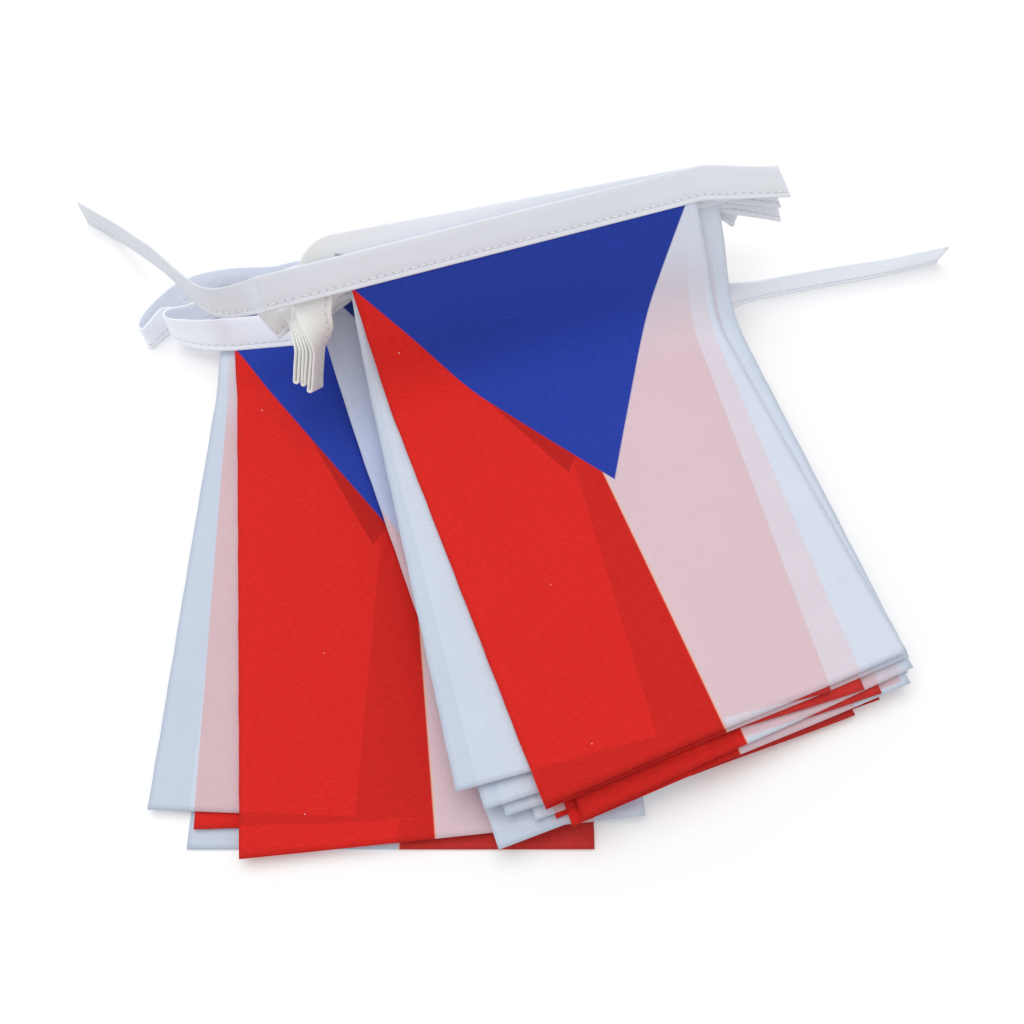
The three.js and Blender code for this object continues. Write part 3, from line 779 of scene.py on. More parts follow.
def closed_sheet(top: Array, bottom: Array) -> tuple[Array, Array, Array]:
    """Closed sheet between two grids of the same size.

    Args:
        top: points of the upper side, columns by rows by three.
        bottom: points of the lower side in the same order.

    Returns:
        Vertices, quads and the grid index of each vertex, the quads facing outwards.
    """
    columns, rows = top.shape[:2]
    count = columns * rows
    index = np.arange(count).reshape(columns, rows)
    a, b, c, d = index[:-1, :-1], index[1:, :-1], index[1:, 1:], index[:-1, 1:]
    upper = np.stack([a, b, c, d], -1).reshape(-1, 4)
    lower = np.stack([a, d, c, b], -1).reshape(-1, 4) + count
    rim = np.concatenate([index[:, 0], index[-1, 1:], index[-2::-1, -1], index[0, -2:0:-1]])
    following = np.roll(rim, -1)
    wall = np.stack([rim + count, following + count, following, rim], -1)
    vertices = np.concatenate([top.reshape(-1, 3), bottom.reshape(-1, 3)])
    return vertices, np.concatenate([upper, lower, wall]), np.tile(np.arange(count), 2)


def make_mesh(name: str, points: Array, quads: Array) -> bpy.types.Object:
    """Object at the origin whose mesh holds points, given in the layout in millimetres.

    Args:
        name: the piece's name.
        points: vertices, n by three.
        quads: faces, m by four.

    Returns:
        The linked object, smooth shaded.
    """
    mesh = bpy.data.meshes.new(name)
    placed = (points - LAYOUT_CENTRE) * MM
    mesh.from_pydata(placed.tolist(), [], quads.tolist())
    mesh.polygons.foreach_set("use_smooth", np.ones(len(mesh.polygons), bool))
    mesh.update()
    made = bpy.data.objects.new(name, mesh)
    bpy.context.collection.objects.link(made)
    return made


def add_uv(piece: bpy.types.Object, name: str, values: Array) -> None:
    """Write a UV map from one pair of numbers for each vertex."""
    mesh = piece.data
    layer = mesh.uv_layers.new(name=name)
    corner = np.empty(len(mesh.loops), np.int64)
    mesh.loops.foreach_get("vertex_index", corner)
    layer.data.foreach_set("uv", np.ascontiguousarray(values[corner], np.float32).ravel())


@dataclass
class FlagCloth:
    """The cloth of one flag, lying on its stack, with its print placed by UV maps."""

    flag: UpperFlag | LowerFlag
    order: int
    columns: int = 56
    rows: int = 84
    thickness: float = 0.42
    tuck: float = 2.5
    edge_wander: float = 0.1
    curl: float = 0.25

    @property
    def piece_name(self) -> str:
        """Name of the piece that shows this flag."""
        return f"{self.flag.name}_cloth"

    def grid(self) -> tuple[Array, Array]:
        """Distances i and j of the grid, the sewn edge tucked a little into the tape.

        Returns:
            Two arrays of columns by rows.
        """
        i = np.linspace(0.0, self.flag.width, self.columns)[:, None] * np.ones((1, self.rows))
        if isinstance(self.flag, UpperFlag):
            reach = self.flag.hoist_length(i[:, 0])[:, None] + self.tuck
        else:
            reach = np.full((self.columns, 1), self.flag.length + self.tuck)
        share = np.linspace(0.0, 1.0, self.rows)[None, :]
        return i, reach * share

    def relief(self, i: Array, j: Array) -> Array:
        """Soft relief: two slow waves of a tenth to a fifth of a millimetre and a slight curl of the corners.

        Args:
            i: distance from the left edge.
            j: distance from the free edge.

        Returns:
            How far the cloth stands above its layer.
        """
        phase = 1.7 * self.order
        waves = 0.14 * np.sin(i / 17.0 + j / 61.0 + phase) + 0.12 * np.sin(j / 23.0 - i / 47.0 + 2.1 * phase)
        to_corner = np.hypot(np.minimum(i, self.flag.width - i), j)
        lift = self.curl * np.exp(-((to_corner / 16.0) ** 2))
        return waves * ease((self.flag.length - j) / 30.0) + lift

    def surface(self, i: Array, j: Array) -> tuple[Array, Array, Array, Array]:
        """Upper and lower side of the cloth.

        The side edges wander by a slow sine of a tenth of a millimetre.

        Args:
            i: distance from the left edge.
            j: distance from the free edge.

        Returns:
            Upper points, lower points, and the place across and along of each.
        """
        rise, half = self.relief(i, j), self.thickness / 2
        wander = self.edge_wander * np.sin(j / 3.1 + 2.3 * self.order) * np.sin(j / 11.0)
        side = np.where(i < self.flag.width / 2, -1.0, 1.0) * (np.abs(i / self.flag.width - 0.5) > 0.499)
        i = i + wander * side
        if isinstance(self.flag, UpperFlag):
            across, along = self.flag.place(i, j)
            depth = self.order * UPPER.layer_pitch(along) - rise
            return (
                UPPER.point(across, along, depth - half),
                UPPER.point(across, along, depth + half),
                across,
                along,
            )
        x, y = self.flag.place(i, j)
        z = LOWER.height(x, y, len(LOWER_FLAGS) - 1 - self.order) + rise
        flat = np.stack([x, y, z], -1)
        up = np.array([0.0, 0.0, half])
        return flat + up, flat - up, x, y

    def print_place(self, other: UpperFlag | LowerFlag, across: Array, along: Array, points: Array) -> Array:
        """UV on another flag for places of this one, mirrored where that flag lies face down."""
        i, j = other.locate(across, along, points)
        u = i / other.width
        if other.face is Face.DOWN:
            u = 1.0 - u
        return np.stack([u, other.print_height(i, j)], -1)

    def build(self) -> bpy.types.Object:
        """Make the mesh with its UV maps.

        Returns:
            The piece. Map cloth is the place on this flag, and the others are those on the flags below.
        """
        i, j = self.grid()
        top, bottom, across, along = self.surface(i, j)
        points, quads, index = closed_sheet(top, bottom)
        piece = make_mesh(self.piece_name, points, quads)
        u = i / self.flag.width
        if self.flag.face is Face.DOWN:
            u = 1.0 - u
        add_uv(piece, "cloth", np.stack([u, self.flag.print_height(i, j)], -1).reshape(-1, 2)[index])
        position = ALL_FLAGS.index(self.flag)
        for step, name in enumerate(MAPS_BELOW, start=1):
            if position + step < len(ALL_FLAGS):
                place = self.print_place(ALL_FLAGS[position + step], across, along, top)
            else:
                place = np.full((*i.shape, 2), -5.0)
            add_uv(piece, name, place.reshape(-1, 2)[index])
        return piece

    def dress(self, piece: bpy.types.Object, material: bpy.types.Material, rests_on: list[str]) -> None:
        """Give the piece its material, hang it from the root body and hide the part that it replaces.

        Args:
            piece: the built flag.
            material: its finish.
            rests_on: names of the pieces it lies on; not used.
        """
        piece.data.materials.append(material)
        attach(piece, "root")
        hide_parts(self.flag.name)


@dataclass
class Run:
    """Stretch of the tape: middle points and directions of its width, one row a station."""

    points: Array
    widths: Array
    # Share of painted shade (a warmer, slightly darker white) and amount of painted light or shade, one each a
    # station.
    warm_shade: Array
    lift: Array

    @classmethod
    def of(cls, points: Array, widths: Array, warm_shade: float = 0.0, lift: float = 0.0) -> "Run":
        """Run with one share of painted warm shade and one amount of painted light or shade on its white all along,
        and its widths made unit vectors.
        """
        points = np.atleast_2d(points)
        widths = np.broadcast_to(np.atleast_2d(widths), points.shape)
        return cls(points, unit(widths), np.full(len(points), float(warm_shade)), np.full(len(points), float(lift)))

    def backward(self) -> "Run":
        """The same run from its other end."""
        return Run(self.points[::-1], self.widths[::-1], self.warm_shade[::-1], self.lift[::-1])

    def skewed(self, direction: Array, amount: Array) -> "Run":
        """The same run with its width slanted along a direction by an amount at each station."""
        slant = np.broadcast_to(amount, len(self.points))[:, None] * direction
        return Run(self.points, self.widths + slant, self.warm_shade, self.lift)

    @staticmethod
    def joined(runs: list["Run"]) -> "Run":
        """One run from several in order."""
        names = ("points", "widths", "warm_shade", "lift")
        return Run(*(np.concatenate([getattr(run, name) for run in runs]) for name in names))


def curve_through(rows: Array, count: int) -> Array:
    """Smooth curve through rows: a Hermite curve whose slope at a row is half the way between its neighbours.

    Args:
        rows: the points or vectors to pass through.
        count: number of equal steps in the parameter.

    Returns:
        count + 1 rows on the curve.
    """
    padded = np.concatenate([[2 * rows[0] - rows[1]], rows, [2 * rows[-1] - rows[-2]]])
    place = np.linspace(0.0, len(rows) - 1.0, count + 1)
    k = np.minimum(place.astype(int), len(rows) - 2)
    w = (place - k)[:, None]
    a, b, c, d = (padded[k + n] for n in range(4))
    leave, arrive = 0.5 * (c - a), 0.5 * (d - b)
    return (
        (2 * b - 2 * c + leave + arrive) * w**3 + (-3 * b + 3 * c - 2 * leave - arrive) * w**2 + leave * w + b
    )


@dataclass(frozen=True)
class EndFold:
    """Fold of the tape beside the upper stack: how far it reaches and the place to which its tip sinks."""

    reach: float
    tip: float


@dataclass(frozen=True)
class HandStation:
    """Given place of the tape's middle, with the lean and heading of its width in degrees."""

    x: float
    y: float
    z: float
    lean: float
    heading: float

    def run(self) -> tuple[Array, Array]:
        """Point and width direction."""
        return np.array([self.x, self.y, self.z]), compass(self.lean, self.heading)


def stations(rows: list[tuple[float, ...]]) -> list[HandStation]:
    """Stations from rows of x, y, z, lean and heading."""
    return [HandStation(*row) for row in rows]


RIGHT_FOLDS = [
    EndFold(124, 51.5),
    EndFold(122, 47),
    EndFold(124, 40),
    EndFold(108, 40),
    EndFold(106, 46),
    EndFold(102, 48),
]
HANGING_TIPS = [22.0, 24.0, 24.5]
DROOPING_FOLDS = [EndFold(-75, 43), EndFold(-83, 44)]
LEADER = stations(
    [
        (-189, 142.5, 6.8, 90, 50),
        (-178.5, 135.5, 7.2, 90, 50),
        (-168.5, 127, 10.5, 90, 50),
        (-154.5, 113, 18, 90, 52),
        (-142, 98.5, 27, 90, 55),
        (-132, 85.5, 34.5, 88, 60),
        (-123.5, 75.5, 39.5, 84, 72),
        (-117, 70, 42.8, 78, 86),
        (-109.5, 66.5, 46.5, 69, 97),
        (-100, 64, 52.5, 59, 104),
    ]
)
LOOP_TO_LOWER_STACK = stations(
    [
        (-84, 84, 36, 60, 106),
        (-97, 86, 28, 70, 98),
        (-111, 86, 22, 82, 92),
        (-124, 84, 18, 88, 90),
        (-133, 82.5, 15.2, 90, 90),
        (-139.5, 81.5, 14.5, 90, 90),
        (-141.5, 78.5, 14.5, 88, 90),
        (-138.5, 75.5, 14.5, 80, 90),
        (-130, 73.5, 14.8, 66, 92),
        (-122, 73, 14.8, 56, 94),
    ]
)
TAIL = stations(
    [
        (-122, 83, 2.5, 0, 91),
        (-131, 83.2, 2.5, 0, 95),
        (-138.5, 85, 6, 48, 120),
        (-144.5, 85.5, 7.5, 78, 140),
        (-149.5, 79.5, 7, 86, 148),
        (-152, 76.5, 7, 88, 150),
        (-153.8, 79, 7, 86, 150),
        (-151.3, 85.5, 7, 84, 145),
        (-146, 93, 7, 85, 135),
        (-139.5, 100, 7, 87, 120),
        (-130, 105, 7, 90, 105),
        (-117, 107.5, 7, 90, 94),
        (-101, 108, 7, 84, 90),
        (-87, 110, 5.6, 55, 88),
        (-72, 110.5, 2.8, 20, 86),
        (-56, 108.5, 0.5, 0, 82),
        (-12, 99.5, 0.5, 0, 78),
        (30, 91.5, 0.5, 0, 84),
        (49, 89.5, 0.5, 0, 92),
        (64, 90.3, 0.5, 0, 98),
        (74, 92.4, 2.4, 14, 102),
        (84, 95.2, 5.4, 45, 103),
        (94, 98.2, 6.9, 75, 104),
        (105, 101, 6.9, 90, 104),
        (131, 107, 6.9, 90, 104),
        (158, 112.5, 6.9, 94, 104),
        (186, 119.5, 6.9, 100, 104),
    ]
)


@dataclass(frozen=True)
class HangingBundle:
    """Line and roll of the loops that hang together at the left of the upper stack."""

    across: float = -61.5
    along: float = 61.0
    turn: float = math.radians(70)
    bend: float = 16.0
    middle_layer: float = 3.5
    roll: float = math.radians(68)
    roll_start: float = 50.0
    roll_length: float = 16.0
    tight_pitch: float = 1.4
    come_forward: float = 4.5
    forward_length: float = 13.0

    def pitch(self, along: Array) -> Array:
        """Distance between the strips, which draw together as they hang down."""
        return mix(UPPER.tape_pitch, self.tight_pitch, ease((self.roll_start - along) / self.roll_length))

    def frame(self, along: Array) -> tuple[Array, Array, Array]:
        """Middle, width and stacking direction at a distance along, in places of the upper stack.

        Going down, the strips roll together onto their edges about the line of the middle layer.

        Args:
            along: unrolled distance from the start of the bend.

        Returns:
            Three arrays of n by three.
        """
        along = np.atleast_1d(np.asarray(along, float))
        across = self.across - (self.along - along) / math.tan(self.turn)
        roll = self.roll * ease((self.roll_start - along) / self.roll_length)
        forward = self.come_forward * ease((self.roll_start - along) / self.forward_length)
        side = np.array([-math.sin(self.turn), math.cos(self.turn), 0.0])
        deep = np.array([0.0, 0.0, 1.0])
        middle = np.stack([across, along, self.middle_layer * UPPER.tape_pitch - forward], -1)
        c, s = np.cos(roll)[:, None], np.sin(roll)[:, None]
        return middle, side * c - deep * s, deep * c + side * s


# Its third argument is the share of painted shade, a warmer and slightly darker white.
def place_run(places: Array, widths: Array, warm_shade: float = 0.0) -> Run:
    """Run whose points and widths are given in places of the upper stack."""
    points = UPPER.point(*places.T)
    outer = UPPER.point(*(places + widths).T)
    return Run.of(points, outer - points, warm_shade)


@dataclass
class BindingTape:
    """The one tape: folded double over the flags' edges and turned back at each end of a pass."""

    width: float = 13.5
    thickness: float = 1.0
    wall: float = 0.3
    least_gap: float = 0.02
    seam_gap: float = 0.3
    overrun: float = 3.0
    leader_length: float = 33.0
    end_reach: float = 9.0
    stitch_inset: float = 2.3
    fold_skew: float = 0.55
    ripple: float = 0.12
    stitch: Stitch = Stitch()
    pass_steps: int = 30
    route_steps: int = 9
    leg_steps: int = 9
    fold_steps: int = 12
    bend_steps: int = 12
    hanging_step: float = 1.2
    bundle: HangingBundle = field(default_factory=HangingBundle)

    @property
    def seam_line(self) -> float:
        """Place of the stitches across the tape, from its middle."""
        return self.stitch_inset - self.width / 2

    def upper_pass(self, flag: UpperFlag, layer: int) -> Run:
        """Straight run along the sewn edge of an upper flag."""
        left, right = flag.pass_place(-1, -self.overrun), flag.pass_place(1, self.overrun)
        share = np.linspace(0.0, 1.0, self.pass_steps + 1)
        points = UPPER.point(mix(left[0], right[0], share), mix(left[1], right[1], share), layer * UPPER.tape_pitch)
        # Painted shade on the front pass, painted light on the passes behind it.
        lift = -0.2 if layer == 0 else 0.5
        return Run.of(points, UPPER.width_direction(math.radians(flag.hoist)), 0.0, lift)

    def leader_run(self, flag: UpperFlag) -> Run:
        """Straight run of the front pass past the left side of its flag."""
        distance = np.linspace(self.leader_length, self.overrun + 1.0, 16)
        points = UPPER.point(*flag.pass_place(-1, -distance), 0.0)
        # Painted shade on the leader.
        return Run.of(points, UPPER.width_direction(math.radians(flag.hoist)), 0.0, -0.3)

    def end_fold(self, first: UpperFlag, second: UpperFlag, layer: int, fold: EndFold, side: int) -> Run:
        """Fold at one end of two passes: out in its own layer, half round, and back in the next layer.

        Args:
            first: flag whose pass leads into the fold.
            second: flag whose pass leads out of it.
            layer: layer of the first.
            fold: reach and tip.
            side: 1 at the right, -1 at the left.

        Returns:
            The run.
        """
        start, end = (flag.pass_place(side, side * self.overrun) for flag in (first, second))
        sinks = [math.atan((fold.tip - place[1]) / (fold.reach - place[0])) for place in (start, end)]
        tip_turn = sum(sinks) / 2
        to_right = np.array([math.cos(UPPER.turn), math.sin(UPPER.turn), 0.0])
        # Painted shade as a warmer white: a little on the folds at the right, more on those at the left.
        skew, warm_shade = (-self.fold_skew, 0.15) if side > 0 else (0.0, 0.6)

        def leg(place: tuple[Array, Array], turn: float, depth: float) -> Run:
            """Straight leg from the end of a pass almost to the tip."""
            share = np.linspace(0.0, 0.95, self.leg_steps + 1)[1:]
            points = UPPER.point(mix(place[0], fold.reach, share), mix(place[1], fold.tip, share), depth)
            straight = Run.of(points, UPPER.width_direction(mix(turn, tip_turn, ease(share * 2))), warm_shade)
            return straight.skewed(to_right, skew * ease(share))

        angle = np.linspace(0.0, np.pi, self.fold_steps + 1)
        across = fold.reach + side * UPPER.tape_pitch / 2 * np.sin(angle)
        depth = (layer + round_step(angle / np.pi)) * UPPER.tape_pitch
        turn_back = Run.of(UPPER.point(across, fold.tip, depth), UPPER.width_direction(tip_turn), warm_shade)
        turn_back = turn_back.skewed(to_right, skew)
        out = leg(start, math.radians(first.hoist), layer * UPPER.tape_pitch)
        back = leg(end, math.radians(second.hoist), (layer + 1) * UPPER.tape_pitch)
        return Run.joined([out, turn_back, back.backward()])

    def hanging_leg(self, flag: UpperFlag, layer: int, tip: float) -> Run:
        """Leg of a hanging loop: a round turn within the slope, then down along the bundle."""
        hang = self.bundle
        start = flag.pass_place(-1, -self.overrun)
        corner = hang.across - (hang.along - start[1]) / math.tan(hang.turn)
        tangent = min(hang.bend * math.tan(hang.turn / 2), float(start[0] - corner))
        radius = tangent / math.tan(hang.turn / 2)
        angle = hang.turn * np.linspace(0.0, 1.0, self.bend_steps + 1)
        depth = np.full_like(angle, layer * UPPER.tape_pitch)
        across = corner + tangent - radius * np.sin(angle)
        places = np.stack([across, start[1] - radius * (1 - np.cos(angle)), depth], -1)
        turned = np.stack([-np.sin(angle), np.cos(angle), np.zeros_like(angle)], -1)
        along = np.arange(hang.roll_start, tip, -self.hanging_step)
        along = np.append(along, tip)
        middle, widths, stacking = hang.frame(along)
        down = middle + stacking * (layer - hang.middle_layer) * hang.pitch(along)[:, None]
        # Painted shade as a warmer white, some on the bend and more on the hanging part.
        return Run.joined([place_run(places, turned, 0.6), place_run(down, widths, 0.9)])

    def hanging_fold(self, first: UpperFlag, second: UpperFlag, layer: int, tip: float) -> Run:
        """Fold at the left end of two passes that hangs down the slope as a narrow loop."""
        hang = self.bundle
        middle, width, stacking = (v[0] for v in hang.frame(tip))
        down = np.array([-math.cos(hang.turn), -math.sin(hang.turn), 0.0])
        angle = np.linspace(0.0, np.pi, self.fold_steps + 1)[1:-1, None]
        offset = (layer + round_step(angle / np.pi) - hang.middle_layer) * hang.pitch(tip)
        places = middle + stacking * offset + down * hang.pitch(tip) / 2 * np.sin(angle)
        # Painted shade as a warmer white on the turn of the hanging loop.
        turn_back = place_run(places, np.broadcast_to(width, places.shape), 0.9)
        out = self.hanging_leg(first, layer, tip)
        back = self.hanging_leg(second, layer + 1, tip)
        return Run.joined([out, turn_back, back.backward()])

    def lower_pass(self, flag: LowerFlag, level: int) -> Run:
        """Run along the sewn edge of a lower flag, standing up from it by the flag's lean."""
        share = np.linspace(0.0, 1.0, self.pass_steps + 1)
        x, y = flag.place(flag.width * share, np.full_like(share, flag.length))
        lean = np.radians(mix(flag.lean[0], flag.lean[1], ease(share * 2)))
        turn = math.radians(flag.turn)
        out = self.seam_gap + self.thickness / 2 * np.sin(lean) + self.width / 2 * np.cos(lean)
        z = LOWER.height(x, y, level) + self.width / 2 * np.sin(lean)
        points = np.stack([x - out * math.sin(turn), y + out * math.cos(turn), z], -1)
        widths = np.stack([-math.sin(turn) * np.cos(lean), math.cos(turn) * np.cos(lean), np.sin(lean)], -1)
        # Painted light on the lower passes.
        return Run.of(points, widths, 0.0, 1.0)

    def flat_fold(self, start: Run, end: Run, side: int) -> Run:
        """Fold that joins the last station of one pass and the first of the one above or below it."""
        a, b, w = start.points[0], end.points[0], start.widths[0] + end.widths[0]
        tip_x = (max if side > 0 else min)(a[0], b[0]) + side * self.end_reach
        tip_y = (a[1] + b[1]) / 2
        share = np.linspace(0.0, 0.85, self.leg_steps + 1)[1:]

        def leg(at: Array, width: Array) -> Run:
            """Level leg that eases sideways to the tip."""
            points = np.stack([mix(at[0], tip_x, share), mix(at[1], tip_y, ease(share)), np.full_like(share, at[2])], -1)
            return Run.of(points, width)

        angle = np.linspace(0.0, np.pi, self.fold_steps + 1)
        radius = abs(a[2] - b[2]) / 2
        x, z = tip_x + side * radius * np.sin(angle), mix(a[2], b[2], round_step(angle / np.pi))
        points = np.stack([x, np.full_like(angle, tip_y), z], -1)
        return Run.joined([leg(a, start.widths[0]), Run.of(points, w), leg(b, end.widths[0]).backward()])

    def stretch(self, before: Run | None, rows: list[HandStation], after: Run | None, lift: float) -> Run:
        """Smooth stretch through listed stations that leaves and meets its neighbours in line.

        Args:
            before: run that it continues, or None at a free end.
            rows: stations to pass through.
            after: run that it leads to, or None at a free end.
            lift: -1 to 1, painted light on the tape's white above 0 and painted shade below 0.

        Returns:
            The run between its neighbours, kept above the surface that it rests on.
        """
        stations = [row.run() for row in rows]
        if before is not None:
            stations.insert(0, (before.points[-1], before.widths[-1]))
        if after is not None:
            stations.append((after.points[0], after.widths[0]))
        count = (len(stations) - 1) * self.route_steps
        points = curve_through(np.array([s[0] for s in stations]), count)
        widths = unit(curve_through(np.array([s[1] for s in stations]), count))
        rest = self.width / 2 * np.abs(widths[:, 2]) + self.thickness / 2 * np.hypot(widths[:, 0], widths[:, 1])
        points[:, 2] = np.maximum(points[:, 2], rest + self.ripple)
        kept = slice(0 if before is None else 1, None if after is None else -1)
        return Run.of(points[kept], widths[kept], 0.0, lift)

    def route(self) -> Run:
        """The whole tape, from the free end at the left to the free end at the right."""
        passes = [self.upper_pass(flag, layer) for layer, flag in enumerate(UPPER_FLAGS)]
        passes[0] = Run.joined([self.leader_run(UPPER_FLAGS[0]), passes[0]])
        # The last number of each stretch is painted light when above 0 and painted shade when below 0.
        runs = [self.stretch(None, LEADER, passes[0], -0.8), passes[0]]
        for layer, (first, second) in enumerate(zip(UPPER_FLAGS, UPPER_FLAGS[1:])):
            turn, following = layer // 2, passes[layer + 1]
            if layer % 2 == 0:
                runs += [self.end_fold(first, second, layer, RIGHT_FOLDS[turn], 1), following.backward()]
            elif turn < len(HANGING_TIPS):
                runs += [self.hanging_fold(first, second, layer, HANGING_TIPS[turn]), following]
            else:
                fold = DROOPING_FOLDS[turn - len(HANGING_TIPS)]
                runs += [self.end_fold(first, second, layer, fold, -1), following]
        lower = [self.lower_pass(flag, len(LOWER_FLAGS) - 1 - k) for k, flag in enumerate(LOWER_FLAGS)]
        runs += [self.stretch(runs[-1], LOOP_TO_LOWER_STACK, lower[0], 1.0), lower[0]]
        runs += [self.flat_fold(lower[0].backward(), lower[1].backward(), 1), lower[1].backward()]
        runs += [self.flat_fold(lower[1], lower[2], -1), lower[2]]
        runs += [self.flat_fold(lower[2].backward(), lower[3].backward(), 1), lower[3].backward()]
        runs.append(self.stretch(runs[-1], TAIL, None, 0.8))
        return Run.joined(runs)

    def frames(self, run: Run) -> tuple[Array, Array, Array]:
        """Arc length, forward and face direction at each station, from the stations beside it."""
        before = np.concatenate([run.points[:1], run.points[:-1]])
        after = np.concatenate([run.points[1:], run.points[-1:]])
        forward = unit(after - before)
        face = unit(np.cross(forward, run.widths))
        steps = np.linalg.norm(np.diff(run.points, axis=0), axis=1)
        return np.concatenate([[0.0], np.cumsum(steps)]), forward, face

    def half_thickness(self, w: Array) -> Array:
        """Half of the folded tape's thickness, less a bell curve where the stitches pinch it.

        Args:
            w: place across, from minus to plus half the width.

        Returns:
            Half thickness in millimetres.
        """
        pinch = self.stitch.pinch * np.exp(-(((w - self.seam_line) / self.stitch.pinch_reach) ** 2))
        return self.thickness / 2 - 0.04 - pinch

    def profile(self) -> tuple[Array, Array, Array]:
        """Closed outline of the doubled tape: round the outside and back along the inside.

        The outside runs from one lip to the fold, half round it and back to the other lip. The inside is
        the same line, set in by the wall.

        Returns:
            Place across, share of the half thickness from -1 to 1, and inset of each outline point.
        """
        half = self.width / 2
        shape = np.concatenate([[0.0, 0.5, 1.0, 1.7, 2.3, 2.9, 3.8], np.linspace(5.5, self.width - 0.5, 5)]) - half
        arc = np.linspace(-np.pi / 2, np.pi / 2, 7)[1:-1]
        w = np.concatenate([shape, half - 0.5 + 0.5 * np.cos(arc), shape[::-1]])
        f = np.concatenate([-np.ones(len(shape)), np.sin(arc), np.ones(len(shape))])
        inner_w = np.where(w > half - 0.5, half - 0.5 + (w - half + 0.5) * 0.4, w)
        return (
            np.concatenate([w, inner_w[::-1]]),
            np.concatenate([f, f[::-1]]),
            np.concatenate([np.zeros(len(w)), np.full(len(w), self.wall)]),
        )

    def sway(self, w: Array, s: Array) -> Array:
        """Slight ripple of the tape: two slow sines along it that grow towards its fold."""
        share = w / self.width + 0.5
        return share * (0.07 * np.sin(s / 5.3) + 0.1 * np.sin(s / 13.7 + 1.0))

    def build(self) -> tuple[bpy.types.Object, Run]:
        """Carry the folded outline along the route.

        Returns:
            The tape and its run.
        """
        run = self.route()
        s, _, face = self.frames(run)
        w, f, inset = self.profile()
        half = np.maximum(self.half_thickness(w) - inset, self.least_gap)[None, :]
        away = f[None, :] * half + self.sway(w[None, :], s[:, None])
        points = (
            run.points[:, None, :]
            + run.widths[:, None, :] * w[None, :, None]
            + face[:, None, :] * away[..., None]
        )
        count, around = len(s), len(w)
        index = np.arange(count * around).reshape(count, around)
        here, there = index, np.roll(index, -1, axis=1)
        quads = np.stack([here[:-1], there[:-1], there[1:], here[1:]], -1).reshape(-1, 4)
        side = around // 2
        k = np.arange(side - 1)
        cap = np.stack([k, around - 1 - k, around - 2 - k, k + 1], -1)
        quads = np.concatenate([quads, cap, cap[:, ::-1] + index[-1, 0]])
        piece = make_mesh("binding_tape_cloth", points.reshape(-1, 3), quads)
        run_uv = np.stack(np.broadcast_arrays(s[:, None], w[None, :]), -1)
        add_uv(piece, "run", run_uv.reshape(-1, 2))
        # Painted shade and painted light, softened along the tape, become point attributes.
        for name in MARKS:
            softened = np.convolve(getattr(run, name), np.ones(15) / 15, mode="same")
            layer = piece.data.attributes.new(name, "FLOAT", "POINT")
            layer.data.foreach_set("value", np.repeat(softened, around).astype(np.float32))
        return piece, run

    def stitches(self, run: Run) -> bpy.types.Object:
        """Rows of short stitches on both faces: each is a thread whose radius and height swell as a sine.

        Args:
            run: the tape's run.

        Returns:
            One piece with all the stitches.
        """
        stitch, (s, _, face) = self.stitch, self.frames(run)
        rings, around = 5, 6
        centres = np.arange(stitch.pitch, s[-1] - stitch.pitch, stitch.pitch)
        place = centres[:, None] + stitch.length * np.linspace(-0.5, 0.5, rings)[None, :]

        def at(values: Array) -> Array:
            """Values of the run at the stitches' places."""
            return np.stack([np.interp(place, s, values[:, n]) for n in range(3)], -1)

        middle, width, out = at(run.points), unit(at(run.widths)), unit(at(face))
        swell = np.sin(np.linspace(0.12, np.pi - 0.12, rings))[None, :]
        angle = np.linspace(0.0, 2 * np.pi, around, endpoint=False)
        seam = np.array(self.seam_line)
        rows = []
        for side in (-1.0, 1.0):
            height = side * (self.half_thickness(seam) + stitch.rise * swell) + self.sway(seam, place)
            core = middle + width * seam + out * height[..., None]
            ring = width[:, :, None] * np.cos(angle)[:, None] + out[:, :, None] * (side * np.sin(angle))[:, None]
            thick = stitch.radius * mix(stitch.end_share, 1.0, swell)[..., None, None]
            rows.append(core[:, :, None] + ring * thick)
        points = np.concatenate(rows)
        count = len(points)
        index = np.arange(count * rings * around).reshape(count, rings, around)
        nearby = np.roll(index, -1, axis=2)
        walls = np.stack([index[:, :-1], nearby[:, :-1], nearby[:, 1:], index[:, 1:]], -1).reshape(count, -1, 4)
        first_cap = index[:, 0][:, [[0, 3, 2, 1], [0, 5, 4, 3]]]
        last_cap = index[:, -1][:, [[0, 1, 2, 3], [0, 3, 4, 5]]]
        faces = np.concatenate([walls, first_cap, last_cap], 1)
        half = count // 2
        quads = np.concatenate([faces[:half, :, ::-1], faces[half:]]).reshape(-1, 4)
        return make_mesh("tape_stitches", points.reshape(-1, 3), quads)

    def dress(self, piece: bpy.types.Object, material: bpy.types.Material, length_m: float) -> None:
        """Give the tape its material, hang it from the root body and hide the part that it replaces."""
        piece.data.materials.append(material)
        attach(piece, "root")
        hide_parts("binding_tape")


TAPE = BindingTape()


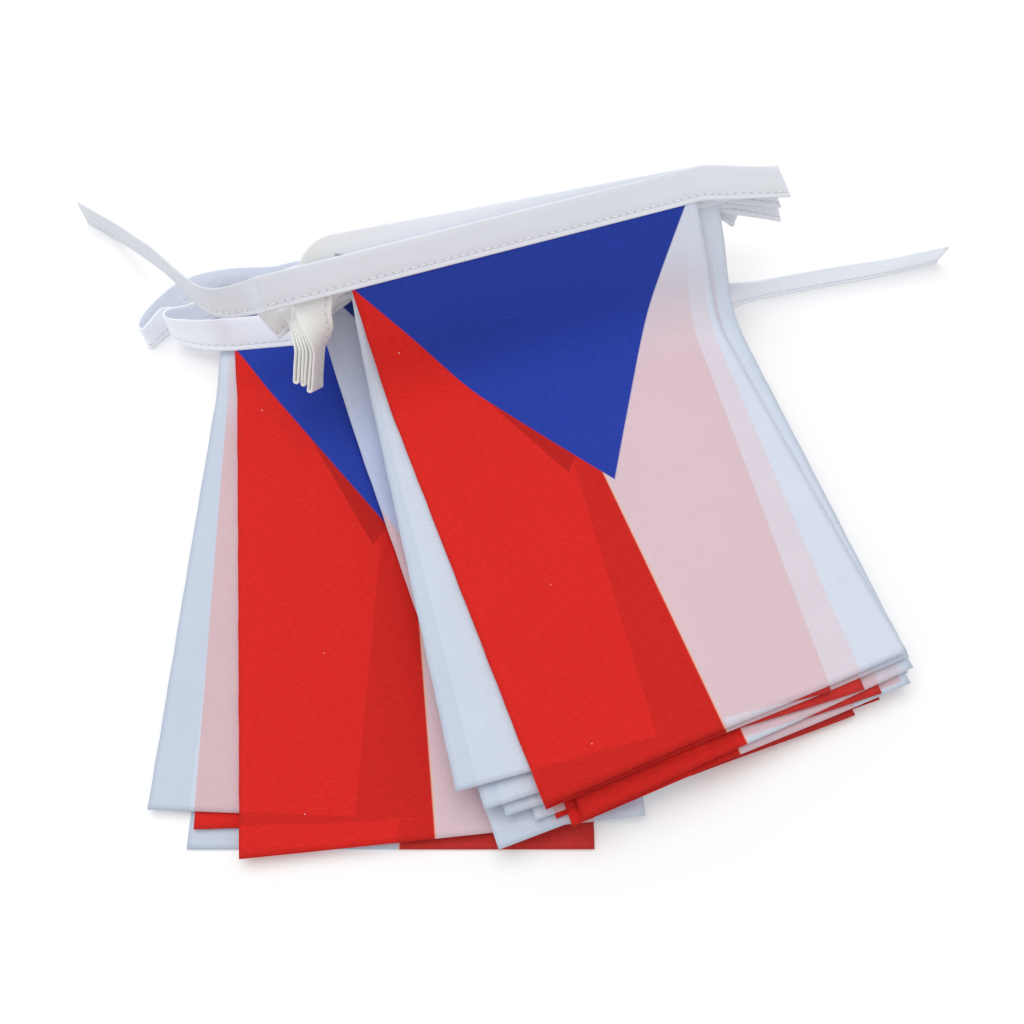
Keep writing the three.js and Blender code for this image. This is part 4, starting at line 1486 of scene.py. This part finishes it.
@dataclass(frozen=True)
class Studio:
    """Pale floor, soft light and the camera."""

    elevation: float = math.radians(65)
    distance_mm: float = 452.8
    focal_px: float = 1150.0
    frame_px: float = 1024.0
    floor_size: float = 6.0
    sky: float = 0.62
    lamp_power: float = 11.0

    def floor(self) -> None:
        """Pale floor just below the object, with a faint grain in its bump."""
        bpy.ops.mesh.primitive_plane_add(size=self.floor_size, location=(0.0, 0.0, -0.0002))
        ground = bpy.context.object
        ground.name = "floor"
        material = bpy.data.materials.new("pale_floor")
        material.use_nodes = True
        bench = Bench(material.node_tree)
        shader = material.node_tree.nodes["Principled BSDF"]
        shader.inputs["Base Color"].default_value = (0.97, 0.97, 0.97, 1.0)
        shader.inputs["Roughness"].default_value = 0.9
        shader.inputs["Specular IOR Level"].default_value = 0.0
        shader.inputs["Emission Color"].default_value = (1.0, 1.0, 1.0, 1.0)
        shader.inputs["Emission Strength"].default_value = 0.08
        place = bench.signal("ShaderNodeTexCoord", {}, "Object")
        bench.feed(shader.inputs["Normal"], bench.bump(bench.noise(place, 60.0), 0.02, 0.0005))
        ground.data.materials.append(material)

    def light(self) -> None:
        """Even sky and one broad lamp overhead, a little behind the object."""
        world = bpy.data.worlds.new("studio")
        bpy.context.scene.world = world
        world.use_nodes = True
        sky = world.node_tree.nodes["Background"]
        sky.inputs["Color"].default_value = (1.0, 1.0, 1.0, 1.0)
        sky.inputs["Strength"].default_value = self.sky
        lamp = bpy.data.lights.new("broad_lamp", "AREA")
        lamp.size = 1.4
        lamp.energy = self.lamp_power
        lamp_object = bpy.data.objects.new("broad_lamp", lamp)
        lamp_object.location = (-0.25, 0.35, 1.4)
        lamp_object.rotation_euler = Euler((math.radians(-14), math.radians(-10), 0.0))
        bpy.context.collection.objects.link(lamp_object)

    def camera(self) -> None:
        """Camera at the photograph's angle, aimed at the layout's own origin."""
        lens = bpy.data.cameras.new("camera")
        lens.sensor_width = 36.0
        lens.lens = lens.sensor_width * self.focal_px / self.frame_px
        eye = np.array([0.0, -math.cos(self.elevation), math.sin(self.elevation)]) * self.distance_mm
        camera = bpy.data.objects.new("camera", lens)
        camera.location = ((eye - LAYOUT_CENTRE) * MM).tolist()
        camera.rotation_euler = Euler((math.pi / 2 - self.elevation, 0.0, 0.0))
        bpy.context.collection.objects.link(camera)
        bpy.context.scene.camera = camera

    def build(self) -> None:
        """Set up the floor, the light, the camera and plain colours on screen."""
        self.floor()
        self.light()
        self.camera()
        bpy.context.scene.view_settings.view_transform = "Standard"


FRONT = ClothFinish("print_front", colour(222, 40, 34), colour(226, 233, 246), colour(40, 64, 166))
REVERSE = ClothFinish(
    "print_reverse", colour(208, 56, 52), colour(219, 227, 240), colour(46, 68, 158), sheer=0.38, left_spread=0.88
)
TAPE_WHITE = TapeFinish("tape_white", colour(234, 238, 246), colour(234, 234, 228), TAPE.seam_line)
THREAD = ThreadFinish("sewing_thread", colour(246, 248, 253))


def main() -> None:
    """Build the studio, the flags from front to back, the tape and its stitches."""
    Studio().build()
    materials = {Face.UP: FRONT.build(), Face.DOWN: REVERSE.build()}
    names = [f"{flag.name}_cloth" for flag in ALL_FLAGS]
    for position, flag in enumerate(ALL_FLAGS):
        order = position if position < len(UPPER_FLAGS) else position - len(UPPER_FLAGS)
        on_top = position in (0, len(UPPER_FLAGS))
        cloth = FlagCloth(flag, order, curl=0.9 if on_top else 0.25)
        piece = cloth.build()
        cloth.dress(piece, materials[flag.face], names[position + 1 : position + 2])
        LOG.info("%s: %d faces", piece.name, len(piece.data.polygons))
    tape, run = TAPE.build()
    length = float(TAPE.frames(run)[0][-1]) * MM
    TAPE.dress(tape, TAPE_WHITE.build(), length)
    LOG.info("%s: %.3f m, %d faces", tape.name, length, len(tape.data.polygons))
    stitches = TAPE.stitches(run)
    stitches.data.materials.append(THREAD.build())
    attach(stitches, "root")
    LOG.info("%s: %d faces", stitches.name, len(stitches.data.polygons))


if __name__ == "__main__":
    logging.basicConfig(level=logging.INFO, format="%(message)s")
    main()
